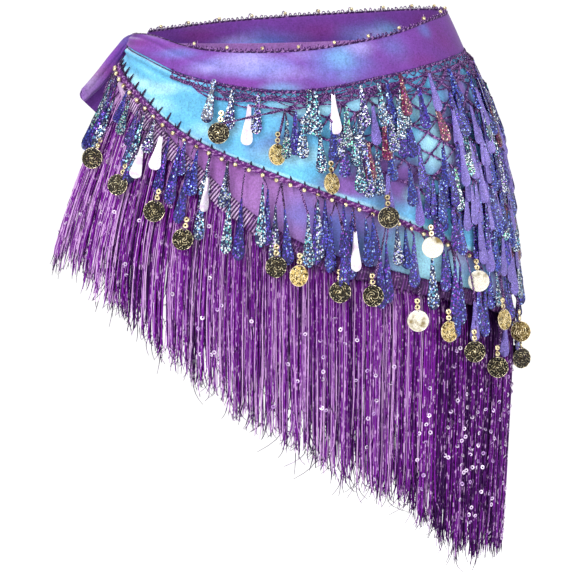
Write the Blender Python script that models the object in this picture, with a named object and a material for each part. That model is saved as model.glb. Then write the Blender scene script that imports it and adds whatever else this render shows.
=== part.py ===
"""Belly dance hip scarf, worn round general hips and tied at the wearer's right.

A triangular scarf: a folded waistband, two overlapping hip panels cut to a point at the
wearer's left, a crochet net, four rows of hanging drops and coins, and a long fringe sewn
to the lower hem. Units are millimetres until the last step. +Z is up, the front faces -Y,
+X is the wearer's left, and the origin is the middle of the ring that the waistband makes.

Every piece is laid on one hip form. A place on it is an angle round the hips, a height, and
an offset outwards. The angle is 0 at the wearer's left, -90 at the front and 90 at the back.
"""

import math
import random
from collections import namedtuple

import bmesh
import bpy
from mathutils import Vector

MM = 0.001

# The hip form: half widths and half depths, in mm, at each height.
HipSection = namedtuple("HipSection", "height right left front back")
HIP_SECTIONS = (
    HipSection(-500, 230, 193, 111, 115),
    HipSection(-400, 230, 198, 114, 121),
    HipSection(-320, 230, 202, 117, 126),
    HipSection(-250, 229, 204, 119, 131),
    HipSection(-200, 223, 201, 121, 133),
    HipSection(-160, 212, 196, 122, 132),
    HipSection(-120, 198, 190, 121, 128),
    HipSection(-80, 183, 181, 118, 121),
    HipSection(-40, 168, 168, 113, 111),
    HipSection(0, 149, 149, 106, 100),
    HipSection(40, 131, 131, 98, 92),
)

# The cut: heights of each edge round the hips, in mm, and the fringe's length.
Station = namedtuple(
    "Station", "angle band_top band_height net_hem upper_hem lower_hem fringe_length"
)
STATIONS = (
    Station(-180, 4, 9, -10, -22, -28, 176),
    Station(-150, 3, 18, -20, -43, -50, 166),
    Station(-120, -11, 26, -42, -89, -109, 181),
    Station(-90, -12, 35, -84, -128, -184, 187),
    Station(-60, 0, 33, -134, -165, -217, 210),
    Station(-30, 17, 35, -186, -204, -238, 236),
    Station(0, 25, 34, -204, -226, -255, 230),
    Station(30, 28, 34, -190, -212, -244, 236),
    Station(60, 26, 34, -146, -174, -219, 218),
    Station(90, 22, 33, -98, -134, -184, 190),
    Station(120, 16, 28, -50, -94, -112, 182),
    Station(150, 8, 19, -20, -48, -56, 168),
)

# Where the cloth starts and ends at the knot, and the point of the triangle.
CLOTH_START = -190.0
CLOTH_END = 158.0
POINT_ANGLE = 3.0
KNOT_ANGLE = 164.0

# Layers, as offsets from the hip form to each piece's inner face.
PANEL_THICKNESS = 1.2
BAND_THICKNESS = 2.0
LOWER_PANEL_OFFSET = 0.0
UPPER_PANEL_OFFSET = 2.2
BAND_OFFSET = 4.4
NET_OFFSET = 4.3
NET_THICKNESS = 1.6
SEAM_GAP = 0.4

# Wall grids.
WALL_COLUMNS = 58
BAND_ROWS = 2
UPPER_ROWS = 4
LOWER_ROWS = 5
TUCK = 8.0

# Soft troughs that the hips press into the panels.
Trough = namedtuple("Trough", "angle height slant half_angle half_height depth")
TROUGHS = (
    Trough(-128, -48, 0.35, 17, 26, 2.0),
    Trough(-92, -96, 0.30, 16, 34, 1.6),
    Trough(-62, -190, 0.20, 15, 40, 1.8),
    Trough(-20, -215, -0.10, 18, 44, 1.6),
    Trough(36, -200, 0.20, 16, 42, 1.8),
    Trough(84, -150, -0.25, 16, 40, 1.8),
    Trough(122, -70, -0.35, 16, 30, 1.6),
)

# Net.
NET_REACH = 132.0
NET_SPLIT = 0.15
NET_COLUMNS = 14
NET_HALF_ROW = 10.0
NET_STRAND = 2.4
HIGH_NET_ROW_DROP = 47.0
LOW_NET_ROW_DROP = 96.0

# Fringe.
FRINGE_LOCKS = 112
LOCK_FILL = 0.76
LOCK_SWAY = 0.6
LOCK_THICKNESS = 2.2
LOCK_TIP_FILL = 0.45
LOCK_RAGGED = 7.0
FRINGE_TAPE_HEIGHT = 7.0

# Drops and coins, and the narrow crochet strips that they hang from.
STRIP_HEIGHT = 5.0
STRIP_THICKNESS = 2.0
ROOT_WIDTH = 2.4
PLAIN_STEP = 6.0
THREAD_WIDTH = 1.3
LONG_THREAD = 10.0
DROP_LENGTH = 40.0
DROP_WIDTH = 12.0
DROP_THICKNESS = 1.0
COIN_RADIUS = 10.5
COIN_THICKNESS = 1.3
BEAD_WIDTH = 5.0
BEAD_HEIGHT = 6.0
BEAD_PINCH = 2.0

Ring = namedtuple("Ring", "fall width thickness offset sway")
DropRow = namedtuple(
    "DropRow",
    "name edge strip_start strip_end start end count pattern thread strip_offset hang_offset sway",
)

# Cords and ties.
EDGING_RADIUS = 1.7
KNOT_HEIGHT = -6.0
KNOT_HALF_SIZES = (8.5, 9.5, 5.5)
TAIL_THICKNESS = 1.6
TAIL_FOLD_GAP = 5.0

# Each row of the front tail: its folded edge, its free edge, and the share that folds back.
TailRow = namedtuple("TailRow", "fold_x fold_y fold_z edge_x edge_y edge_z flap")
FRONT_TAIL = (
    TailRow(-159, 25, 2, -159, 30, -13, 0.60),
    TailRow(-163, 24, -1, -163, 34, -20, 0.62),
    TailRow(-169, 24, -8, -166, 38, -31, 0.64),
    TailRow(-178, 23, -19, -171, 39, -44, 0.66),
    TailRow(-188, 22, -32, -175, 38, -57, 0.62),
    TailRow(-198, 21, -44, -180, 36, -66, 0.48),
    TailRow(-207, 20, -53, -185, 34, -73, 0.34),
)
BackTailRow = namedtuple("BackTailRow", "angle height offset width")
BACK_TAIL = (
    BackTailRow(156, -15, 10.0, 12),
    BackTailRow(152, -34, 12.5, 19),
    BackTailRow(149, -62, 13.0, 26),
    BackTailRow(147, -98, 13.0, 30),
)

VIOLET = (0.30, 0.06, 0.50)
TURQUOISE = (0.16, 0.55, 0.78)
MAUVE = (0.38, 0.16, 0.58)
SPANGLE_BLUE = (0.24, 0.22, 0.62)


def smooth_between(rows, key, at, field):
    """The value of a field at a place between rows, on a curve that runs through them."""
    last = len(rows) - 1
    index = max(i for i in range(last) if at >= getattr(rows[i], key) or i == 0)
    before, low, high, after = (rows[min(max(index + i, 0), last)] for i in (-1, 0, 1, 2))
    span = getattr(high, key) - getattr(low, key)
    t = min(max((at - getattr(low, key)) / span, 0.0), 1.0)
    p0, p1, p2, p3 = (getattr(row, field) for row in (before, low, high, after))
    slope_low = (p2 - p0) * span / max(getattr(high, key) - getattr(before, key), span)
    slope_high = (p3 - p1) * span / max(getattr(after, key) - getattr(low, key), span)
    return (
        p1 * (2 * t**3 - 3 * t**2 + 1)
        + slope_low * (t**3 - 2 * t**2 + t)
        + p2 * (3 * t**2 - 2 * t**3)
        + slope_high * (t**3 - t**2)
    )


WRAPPED_STATIONS = tuple(
    row._replace(angle=row.angle + turn) for turn in (-360, 0, 360) for row in STATIONS
)


def cut(field, angle):
    """The height or length of an edge of the cut at an angle round the hips."""
    return smooth_between(WRAPPED_STATIONS, "angle", angle, field)


def band_bottom(angle):
    return cut("band_top", angle) - cut("band_height", angle)


def band_strip_bottom(angle):
    return band_bottom(angle) - SEAM_GAP - STRIP_HEIGHT


def high_net_strip_bottom(angle):
    return band_strip_bottom(angle) - HIGH_NET_ROW_DROP


def low_net_strip_bottom(angle):
    return band_strip_bottom(angle) - LOW_NET_ROW_DROP


def upper_strip_bottom(angle):
    return cut("upper_hem", angle) - SEAM_GAP - STRIP_HEIGHT


def tape_bottom(angle):
    return cut("lower_hem", angle) - SEAM_GAP - FRINGE_TAPE_HEIGHT


def fold_depth(angle, height):
    """How far the troughs press the cloth in at a place."""
    depth = 0.0
    for trough in TROUGHS:
        across = (angle - trough.angle - trough.slant * (height - trough.height)) / trough.half_angle
        along = (height - trough.height) / trough.half_height
        if abs(across) < 1 and abs(along) < 1:
            depth += trough.depth * math.cos(across * math.pi / 2) ** 2 * math.cos(along * math.pi / 2) ** 2
    return depth


def on_hips(angle, height, offset=0.0):
    """(point, outward direction, direction round the hips) at a place on the hip form."""
    turn = math.radians(angle)
    side = "left" if math.cos(turn) > 0 else "right"
    face = "back" if math.sin(turn) > 0 else "front"
    half_width = smooth_between(HIP_SECTIONS, "height", height, side)
    half_depth = smooth_between(HIP_SECTIONS, "height", height, face)
    outward = Vector((math.cos(turn) / half_width, math.sin(turn) / half_depth, 0)).normalized()
    around = Vector((-outward.y, outward.x, 0))
    reach = offset - fold_depth(angle, height)
    point = Vector((half_width * math.cos(turn), half_depth * math.sin(turn), height))
    return point + outward * reach, outward, around


def place(angle, height, offset):
    return on_hips(angle, height, offset)[0]


def evenly_spaced(edge, start, end, count):
    """Angles that divide an edge round the hips into count equal lengths."""
    steps = 240
    angles = [start + (end - start) * i / steps for i in range(steps + 1)]
    points = [place(angle, edge(angle), 0) for angle in angles]
    travelled = [0.0]
    for first, second in zip(points, points[1:]):
        travelled.append(travelled[-1] + (second - first).length)
    found = []
    index = 0
    for i in range(count + 1):
        target = travelled[-1] * i / count
        while index < steps - 1 and travelled[index + 1] < target:
            index += 1
        share = (target - travelled[index]) / (travelled[index + 1] - travelled[index])
        found.append(angles[index] + (angles[index + 1] - angles[index]) * share)
    return found


def finish(name, bm, colour, roughness=0.7):
    """A named object in metres, with its own material, from a mesh in millimetres."""
    bmesh.ops.scale(bm, vec=(MM, MM, MM), verts=bm.verts)
    bmesh.ops.recalc_face_normals(bm, faces=bm.faces)
    mesh = bpy.data.meshes.new(name)
    bm.to_mesh(mesh)
    bm.free()
    mesh.shade_smooth()
    mesh.set_sharp_from_angle(angle=math.radians(40))
    material = bpy.data.materials.new(name)
    material.use_nodes = True
    shader = material.node_tree.nodes["Principled BSDF"]
    shader.inputs["Base Color"].default_value = (*colour, 1)
    shader.inputs["Roughness"].default_value = roughness
    mesh.materials.append(material)
    piece = bpy.data.objects.new(name, mesh)
    bpy.context.scene.collection.objects.link(piece)
    return piece


def loft(name, sections, colour):
    """A solid through sections of equally many corners, capped at both ends."""
    bm = bmesh.new()
    rings = [[bm.verts.new(point) for point in section] for section in sections]
    for low, high in zip(rings, rings[1:]):
        for i in range(len(low)):
            j = (i + 1) % len(low)
            bm.faces.new((low[i], low[j], high[j], high[i]))
    bm.faces.new(rings[0][::-1])
    bm.faces.new(rings[-1])
    bmesh.ops.triangulate(bm, faces=[face for face in bm.faces if len(face.verts) > 4])
    return finish(name, bm, colour)


def cloth_wall(name, top, bottom, rows, offset, thickness, colour):
    """A strip of cloth round the hips from one side of the knot to the other."""
    sections = []
    for column in range(WALL_COLUMNS + 1):
        angle = CLOTH_START + (CLOTH_END - CLOTH_START) * column / WALL_COLUMNS
        high, low = top(angle), bottom(angle)
        heights = [high + (low - high) * row / rows for row in range(rows + 1)]
        outer = [place(angle, height, offset + thickness) for height in heights]
        inner = [place(angle, height, offset) for height in reversed(heights)]
        sections.append(outer + inner)
    bm = bmesh.new()
    loops = [[bm.verts.new(point) for point in section] for section in sections]
    side = rows + 1
    for low, high in zip(loops, loops[1:]):
        for i in range(len(low)):
            j = (i + 1) % len(low)
            bm.faces.new((low[i], low[j], high[j], high[i]))
    for loop in (loops[0], loops[-1]):
        for row in range(rows):
            bm.faces.new((loop[row], loop[row + 1], loop[2 * side - 2 - row], loop[2 * side - 1 - row]))
    return finish(name, bm, colour)


def waistband():
    return cloth_wall(
        "waistband",
        lambda angle: cut("band_top", angle),
        band_bottom,
        BAND_ROWS,
        BAND_OFFSET,
        BAND_THICKNESS,
        VIOLET,
    )


def upper_panel():
    return cloth_wall(
        "upper_panel",
        lambda angle: band_bottom(angle) + TUCK,
        lambda angle: cut("upper_hem", angle),
        UPPER_ROWS,
        UPPER_PANEL_OFFSET,
        PANEL_THICKNESS,
        TURQUOISE,
    )


def lower_panel():
    return cloth_wall(
        "lower_panel",
        lambda angle: band_bottom(angle) + TUCK,
        lambda angle: cut("lower_hem", angle),
        LOWER_ROWS,
        LOWER_PANEL_OFFSET,
        PANEL_THICKNESS,
        MAUVE,
    )


def waist_edging():
    """The crochet cord along the waistband's top edge."""
    sections = []
    middle = BAND_OFFSET + BAND_THICKNESS / 2
    for column in range(WALL_COLUMNS + 1):
        angle = CLOTH_START + (CLOTH_END - CLOTH_START) * column / WALL_COLUMNS
        height = cut("band_top", angle) + SEAM_GAP + EDGING_RADIUS
        section = []
        for up, out in ((0, 1), (1, 0), (0, -1), (-1, 0)):
            section.append(place(angle, height + EDGING_RADIUS * up, middle + EDGING_RADIUS * out))
        sections.append(section)
    return loft("waist_edging", sections, VIOLET)


def net_knots(start, end):
    """A net's knots, keyed by half column and half row, as (angle, height)."""
    columns = 2 * NET_COLUMNS
    knots = {}
    for column, angle in enumerate(evenly_spaced(band_bottom, start, end, columns)):
        top = band_strip_bottom(angle) - SEAM_GAP - NET_STRAND / 2
        rows = int((top - cut("net_hem", angle)) / NET_HALF_ROW)
        for row in range(column % 2, rows + 1, 2):
            knots[column, row] = (angle, top - NET_HALF_ROW * row)
    return knots


def net_cells(knots):
    """The corners of each gap: diamonds hung in rows, halves at the ends, triangles on top."""
    last = 2 * NET_COLUMNS
    diamonds = {}
    for column, row in sorted(knots, key=lambda key: (key[1], key[0])):
        corners = [(column, row), (column - 1, row + 1), (column, row + 2), (column + 1, row + 1)]
        corners = [corner for corner in corners if 0 <= corner[0] <= last]
        sides = [column + side for side in (-1, 1) if 0 <= column + side <= last]
        hung = row == 0 or all((side, row - 1) in diamonds for side in sides)
        if hung and all(corner in knots for corner in corners):
            diamonds[column, row] = corners
    triangles = [
        [(column, 0), (column + 1, 1), (column + 2, 0)]
        for column, row in diamonds
        if row == 0 and (column + 2, 0) in diamonds
    ]
    return triangles + list(diamonds.values())


def net(name, start, end):
    """Crochet net: strands with a flat back and a ridge in front, round gaps cut through."""
    knots = net_knots(start, end)
    cells = net_cells(knots)
    bm = bmesh.new()
    ridge, back = {}, {}
    for key in sorted({corner for cell in cells for corner in cell}):
        angle, height = knots[key]
        ridge[key] = bm.verts.new(place(angle, height, NET_OFFSET + NET_THICKNESS))
        back[key] = bm.verts.new(place(angle, height, NET_OFFSET))
    edge_uses = {}
    for cell in cells:
        middle_angle = sum(knots[key][0] for key in cell) / len(cell)
        middle_height = sum(knots[key][1] for key in cell) / len(cell)
        inner_radius = NET_HALF_ROW / math.sqrt(2) if len(cell) == 4 else NET_HALF_ROW / 2.4
        share = 1 - NET_STRAND / 2 / inner_radius
        hole = []
        for key in cell:
            angle, height = knots[key]
            hole.append(
                bm.verts.new(
                    place(
                        middle_angle + (angle - middle_angle) * share,
                        middle_height + (height - middle_height) * share,
                        NET_OFFSET,
                    )
                )
            )
        for i, key in enumerate(cell):
            following = (i + 1) % len(cell)
            after = cell[following]
            bm.faces.new((ridge[key], ridge[after], hole[following], hole[i]))
            bm.faces.new((back[after], back[key], hole[i], hole[following]))
            edge_uses.setdefault(frozenset((key, after)), []).append((key, after))
    for uses in edge_uses.values():
        if len(uses) == 1:
            key, after = uses[0]
            bm.faces.new((ridge[after], ridge[key], back[key], back[after]))
    return finish(name, bm, VIOLET)


def hanging_ring(angle, height, ring):
    """Four corners of a strand's cross-section: front and back, at both sides."""
    point, outward, around = on_hips(angle, height, ring.offset)
    aside = around * (ring.width / 2)
    out = outward * (ring.thickness / 2)
    middle = point + around * ring.sway
    return [middle - aside + out, middle - aside - out, middle + aside - out, middle + aside + out]


def plain_angles(start, end):
    """Columns with no strand, from the start up to but not including the end."""
    count = max(1, math.ceil((end - start) / PLAIN_STEP))
    return [start + (end - start) * i / count for i in range(count)]


def comb(name, edge, ends, roots, strands, strip, colour, roughness=0.7):
    """A narrow strip with strands that hang from its bottom edge, as one solid.

    roots holds each strand's two angles on the strip, and strands its rings from the top down.
    The strip is a wedge, sharp at its top. strip is its height, offset and thickness.
    """
    height, offset, thickness = strip
    before = plain_angles(ends[0], roots[0][0])
    after = plain_angles(roots[-1][1], ends[1])[1:] + [ends[1]]
    bm = bmesh.new()
    columns = []
    for angle in before + [angle for root in roots for angle in root] + after:
        bottom = edge(angle)
        corners = ((bottom + height, offset), (bottom, offset + thickness), (bottom, offset))
        columns.append([bm.verts.new(place(angle, z, out)) for z, out in corners])
    strand_columns = {len(before) + 2 * i: i for i in range(len(roots))}
    for index, (left, right) in enumerate(zip(columns, columns[1:])):
        bm.faces.new((left[0], left[1], right[1], right[0]))
        bm.faces.new((right[0], right[2], left[2], left[0]))
        loop = [left[1], left[2], right[2], right[1]]
        if index in strand_columns:
            strand = strand_columns[index]
            middle = sum(roots[strand]) / 2
            for ring in strands[strand]:
                corners = hanging_ring(middle, edge(middle) - ring.fall, ring)
                following = [bm.verts.new(corner) for corner in corners]
                for i in range(4):
                    j = (i + 1) % 4
                    bm.faces.new((loop[i], loop[j], following[j], following[i]))
                loop = following
        bm.faces.new(loop[::-1])
    bm.faces.new(columns[0][::-1])
    bm.faces.new(columns[-1])
    return finish(name, bm, colour, roughness)


def roots_along(edge, start, end, count, width=None, fill=0.5):
    """The two angles of each root, evenly spaced, with a set width or a share of the space."""
    bounds = evenly_spaced(edge, start, end, count)
    roots = []
    for low, high in zip(bounds, bounds[1:]):
        length = (place(high, edge(high), 0) - place(low, edge(low), 0)).length
        half = (high - low) * (width / length if width else fill) / 2
        middle = (low + high) / 2
        roots.append((middle - half, middle + half))
    return roots


def fringe(name, start, end, locks):
    """A fringe of hanging locks on a tape just below the lower panel's hem."""
    roots = roots_along(tape_bottom, start, end, locks, fill=LOCK_FILL)
    chance = random.Random(name)
    strands = []
    for low, high in roots:
        width = (place(high, tape_bottom(high), 0) - place(low, tape_bottom(low), 0)).length
        ragged = chance.uniform(-LOCK_RAGGED, LOCK_RAGGED)
        length = cut("fringe_length", (low + high) / 2) - FRINGE_TAPE_HEIGHT + ragged
        sway = chance.uniform(-LOCK_SWAY, LOCK_SWAY)
        middle = LOCK_THICKNESS / 2
        tip = width * LOCK_TIP_FILL
        strands.append(
            [
                Ring(length * 0.5, width * 0.95, LOCK_THICKNESS, middle, sway / 2),
                Ring(length, tip, LOCK_THICKNESS * 0.6, middle, sway),
            ]
        )
    strip = (FRINGE_TAPE_HEIGHT, 0.0, LOCK_THICKNESS)
    return comb(name, tape_bottom, (start, end), roots, strands, strip, VIOLET)


def drop_rings(thread, offset, sway):
    """A flat teardrop on a thread: its neck, its widest place and its round end."""
    step_out = [Ring(1.0, THREAD_WIDTH, THREAD_WIDTH, offset, 0)] if thread > LONG_THREAD else []
    return step_out + [
        Ring(thread, THREAD_WIDTH, DROP_THICKNESS, offset, sway * 0.35),
        Ring(thread + DROP_LENGTH * 0.78, DROP_WIDTH, DROP_THICKNESS, offset, sway * 0.9),
        Ring(thread + DROP_LENGTH, DROP_WIDTH * 0.45, DROP_THICKNESS, offset, sway),
    ]


def coin_rings(thread, offset):
    """Two beads on a thread above an eight-sided coin."""
    side = COIN_RADIUS * math.tan(math.pi / 8)
    middle = thread + 2 * BEAD_HEIGHT + COIN_RADIUS
    rings = [Ring(thread, THREAD_WIDTH, THREAD_WIDTH, offset, 0)]
    for bead in range(2):
        bead_middle = thread + BEAD_HEIGHT * (bead + 0.5)
        rings.append(Ring(bead_middle, BEAD_WIDTH, BEAD_WIDTH, offset, 0))
        if bead == 0:
            rings.append(Ring(thread + BEAD_HEIGHT, BEAD_PINCH, BEAD_PINCH, offset, 0))
    return rings + [
        Ring(middle - COIN_RADIUS, 2 * side, COIN_THICKNESS, offset, 0),
        Ring(middle - side, 2 * COIN_RADIUS, COIN_THICKNESS, offset, 0),
        Ring(middle + side, 2 * COIN_RADIUS, COIN_THICKNESS, offset, 0),
        Ring(middle + COIN_RADIUS, 2 * side, COIN_THICKNESS, offset, 0),
    ]


DROP_ROWS = (
    DropRow("band_drops", band_strip_bottom, -188, 156, -114, 114, 26, "dddc", 3, 4.4, 9.4, 2.0),
    DropRow("high_net_drops", high_net_strip_bottom, -73, 73, -72, 72, 18, "ddc", 3, 6.5, 9.4, 0.0),
    DropRow("low_net_drops", low_net_strip_bottom, -47, 47, -46, 46, 12, "d", 3, 6.5, 9.4, 0.0),
    DropRow("upper_hem_drops", upper_strip_bottom, -188, 156, -184, 152, 38, "d", 24, 2.2, 10.0, 5.0),
    DropRow("lower_hem_drops", tape_bottom, -188, 156, -186, 154, 38, "cdd", 7, 3.4, 6.4, 0.0),
)


def drop_row(row):
    """A row of drops and coins on a crochet strip."""
    roots = roots_along(row.edge, row.start, row.end, row.count, width=ROOT_WIDTH)
    strands = []
    for index in range(len(roots)):
        lean = row.sway if index % 2 else -row.sway
        if row.pattern[index % len(row.pattern)] == "c":
            strands.append(coin_rings(row.thread, row.hang_offset))
        else:
            strands.append(drop_rings(row.thread, row.hang_offset, lean))
    ends = (row.strip_start, row.strip_end)
    strip = (STRIP_HEIGHT, row.strip_offset, STRIP_THICKNESS)
    return comb(row.name, row.edge, ends, roots, strands, strip, SPANGLE_BLUE, roughness=0.4)


def knot():
    """The tie at the wearer's right: a rounded lump crossed by a slanting groove."""
    middle, outward, around = on_hips(KNOT_ANGLE, KNOT_HEIGHT, BAND_OFFSET)
    around_half, up_half, out_half = KNOT_HALF_SIZES
    squareness = 0.65

    def rounded(value):
        return math.copysign(abs(value) ** squareness, value)

    sections = []
    rings, corners = 9, 16
    for ring in range(rings):
        tilt = math.pi * (ring + 0.5) / rings - math.pi / 2
        section = []
        for corner in range(corners):
            turn = 2 * math.pi * corner / corners
            groove = 1 - 0.14 * math.cos(turn * 2 + tilt * 1.5) ** 8
            section.append(
                middle
                + around * (around_half * rounded(math.cos(tilt)) * rounded(math.cos(turn)) * groove)
                + outward * (out_half * rounded(math.cos(tilt)) * rounded(math.sin(turn)) * groove)
                + Vector((0, 0, up_half * rounded(math.sin(tilt))))
            )
        sections.append(section)
    return loft("knot", sections, VIOLET)


def tail_outline(width, flap, gap, grow):
    """The front tail's section from its free edge, round the fold, to the end of its flap."""
    fold = gap / 2
    bend = []
    for degrees in (-90, -126, -162, -198, -234, -270):
        turn = math.radians(degrees)
        bend.append((fold + (fold + grow) * math.cos(turn), fold + (fold + grow) * math.sin(turn)))
    return [(width, -grow)] + bend + [(max(width * flap, 2 * fold), gap + grow)]


def front_tail():
    """The tie's front end: a strip folded back along its outer edge."""
    folds = [Vector((row.fold_x, row.fold_y, row.fold_z)) for row in FRONT_TAIL]
    bm = bmesh.new()
    loops = []
    for index, row in enumerate(FRONT_TAIL):
        along_fold = folds[min(index + 1, len(folds) - 1)] - folds[max(index - 1, 0)]
        across = Vector((row.edge_x, row.edge_y, row.edge_z)) - folds[index]
        width = across.length
        across.normalize()
        towards_front = across.cross(along_fold).normalized()
        if towards_front.y > 0:
            towards_front.negate()
        outline = tail_outline(width, row.flap, TAIL_FOLD_GAP, 0)
        outline += reversed(tail_outline(width, row.flap, TAIL_FOLD_GAP, TAIL_THICKNESS))
        loops.append([bm.verts.new(folds[index] + across * x + towards_front * y) for x, y in outline])
    count = len(loops[0])
    for low, high in zip(loops, loops[1:]):
        for i in range(count):
            j = (i + 1) % count
            bm.faces.new((low[i], low[j], high[j], high[i]))
    for loop in (loops[0], loops[-1]):
        for i in range(count // 2 - 1):
            bm.faces.new((loop[i], loop[i + 1], loop[count - 2 - i], loop[count - 1 - i]))
    return finish("front_tail", bm, VIOLET)


def back_tail():
    """The tie's back end, which hangs behind the knot."""
    sections = []
    for row in BACK_TAIL:
        point, outward, around = on_hips(row.angle, row.height, row.offset)
        inner = [point + around * (row.width * share) for share in (-0.5, -0.17, 0.17, 0.5)]
        ripple = (0.0, 1.6, -0.4, 0.8)
        inner = [corner + outward * lift for corner, lift in zip(inner, ripple)]
        sections.append(inner + [corner + outward * TAIL_THICKNESS for corner in reversed(inner)])
    return loft("back_tail", sections, VIOLET)


def main():
    for piece in list(bpy.data.objects):
        bpy.data.objects.remove(piece)
    waistband()
    upper_panel()
    lower_panel()
    waist_edging()
    net("net_front", -NET_REACH, POINT_ANGLE - NET_SPLIT)
    net("net_back", POINT_ANGLE + NET_SPLIT, NET_REACH)
    middle_share = (POINT_ANGLE - CLOTH_START) / (CLOTH_END - CLOTH_START)
    front_locks = round(FRINGE_LOCKS * middle_share)
    fringe("fringe_front", CLOTH_START, POINT_ANGLE - 0.3, front_locks)
    fringe("fringe_back", POINT_ANGLE + 0.3, CLOTH_END, FRINGE_LOCKS - front_locks)
    for row in DROP_ROWS:
        drop_row(row)
    knot()
    front_tail()
    back_tail()


main()
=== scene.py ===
"""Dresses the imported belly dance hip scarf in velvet, crochet, spangles, coins and fringe."""

import math
import random
from collections import namedtuple
from functools import cache

import bpy
import numpy as np
from bpy.props import FloatProperty, FloatVectorProperty, IntProperty, PointerProperty
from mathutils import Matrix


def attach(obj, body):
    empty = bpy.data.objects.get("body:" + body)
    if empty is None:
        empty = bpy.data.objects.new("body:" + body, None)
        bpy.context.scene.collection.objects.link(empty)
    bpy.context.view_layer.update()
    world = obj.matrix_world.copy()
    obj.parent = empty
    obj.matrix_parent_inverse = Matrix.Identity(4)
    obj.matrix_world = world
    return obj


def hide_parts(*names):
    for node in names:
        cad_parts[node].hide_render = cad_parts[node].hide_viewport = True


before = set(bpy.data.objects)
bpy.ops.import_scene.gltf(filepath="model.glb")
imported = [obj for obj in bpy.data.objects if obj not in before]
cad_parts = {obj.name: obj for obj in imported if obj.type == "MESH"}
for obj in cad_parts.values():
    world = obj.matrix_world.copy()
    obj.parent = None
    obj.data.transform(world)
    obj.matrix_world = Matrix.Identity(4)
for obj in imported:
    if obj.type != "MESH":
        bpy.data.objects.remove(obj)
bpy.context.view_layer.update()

bl_info = {
    "name": "Hip scarf dressing",
    "version": (1, 0, 0),
    "blender": (4, 5, 0),
    "location": "3D View > Sidebar > Hip scarf",
    "description": "Velvet, crochet, spangles, coins and fringe for a belly dance hip scarf",
    "category": "Object",
}

MM = 0.001


def table(columns, *rows):
    """Rows with named columns."""
    row_of = namedtuple("Row", columns)
    return tuple(row_of(*row) for row in rows)


# The hip form: half widths and half depths, in mm, at each height.
HIP_SECTIONS = table(
    "height right left front back",
    (-500, 230, 193, 111, 115),
    (-400, 230, 198, 114, 121),
    (-320, 230, 202, 117, 126),
    (-250, 229, 204, 119, 131),
    (-200, 223, 201, 121, 133),
    (-160, 212, 196, 122, 132),
    (-120, 198, 190, 121, 128),
    (-80, 183, 181, 118, 121),
    (-40, 168, 168, 113, 111),
    (0, 149, 149, 106, 100),
    (40, 131, 131, 98, 92),
)

# The cut: heights of each edge round the hips, in mm, and the fringe's length.
STATIONS = table(
    "angle band_top band_height net_hem upper_hem lower_hem fringe_length",
    (-180, 4, 9, -10, -22, -28, 176),
    (-150, 3, 18, -20, -43, -50, 166),
    (-120, -11, 26, -42, -89, -109, 181),
    (-90, -12, 35, -84, -128, -184, 187),
    (-60, 0, 33, -134, -165, -217, 210),
    (-30, 17, 35, -186, -204, -238, 236),
    (0, 25, 34, -204, -226, -255, 230),
    (30, 28, 34, -190, -212, -244, 236),
    (60, 26, 34, -146, -174, -219, 218),
    (90, 22, 33, -98, -134, -184, 190),
    (120, 16, 28, -50, -94, -112, 182),
    (150, 8, 19, -20, -48, -56, 168),
)

# Where the cloth starts and ends at the knot, its point and the knot, in degrees.
CLOTH_START = -190.0
CLOTH_END = 158.0
POINT_ANGLE = 3.0
KNOT_ANGLE = 164.0

# Layers, as offsets from the hip form to each piece's inner face, and their thickness.
PANEL_THICKNESS = 1.2
BAND_THICKNESS = 2.0
LOWER_PANEL_OFFSET = 0.0
UPPER_PANEL_OFFSET = 2.2
BAND_OFFSET = 4.4
NET_OFFSET = 4.3
SEAM_GAP = 0.4
# How far the panels go up under the band.
TUCK = 8.0

# Soft troughs that the hips press into the panels.
TROUGHS = table(
    "angle height slant half_angle half_height depth",
    (-128, -48, 0.35, 17, 26, 2.0),
    (-92, -96, 0.30, 16, 34, 1.6),
    (-62, -190, 0.20, 15, 40, 1.8),
    (-20, -215, -0.10, 18, 44, 1.6),
    (36, -200, 0.20, 16, 42, 1.8),
    (84, -150, -0.25, 16, 40, 1.8),
    (122, -70, -0.35, 16, 30, 1.6),
)

# The net: how far round it goes, its columns and rows of knots, its strand, and its two halves.
NET_REACH = 132.0
NET_SPLIT = 0.15
NET_COLUMNS = 14
NET_HALF_ROW = 10.0
NET_STRAND = 2.4
NETS = {
    "net_front": (-NET_REACH, POINT_ANGLE - NET_SPLIT),
    "net_back": (POINT_ANGLE + NET_SPLIT, NET_REACH),
}

# The strips that carry drops, and how far below the band's strip the two on the net are.
STRIP_HEIGHT = 5.0
HIGH_NET_ROW_DROP = 47.0
LOW_NET_ROW_DROP = 96.0

# How much closer to the hips drops and fringe lie near the knot, and how far up the fringe is sewn on.
LEFT_EASE = 4.0
FRINGE_START = 9.0

# The front tail: its folded edge, its free edge, and the share that folds back.
FRONT_TAIL = table(
    "fold_x fold_y fold_z edge_x edge_y edge_z flap",
    (-158, 25, 3, -159, 30, -13, 0.34),
    (-163, 24, 0, -163, 34, -20, 0.35),
    (-169, 24, -7, -166, 38, -31, 0.37),
    (-178, 23, -18, -171, 39, -44, 0.40),
    (-188, 22, -31, -175, 38, -58, 0.38),
    (-198, 21, -43, -180, 36, -68, 0.34),
    (-207, 20, -53, -185, 34, -75, 0.28),
)

# The back tail: where its middle hangs, and its width.
BACK_TAIL = table(
    "angle height offset width",
    (161, -7, 8.5, 9),
    (156, -15, 10.0, 12),
    (152, -34, 12.5, 19),
    (149, -62, 13.0, 26),
    (147, -98, 13.0, 30),
)

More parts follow.
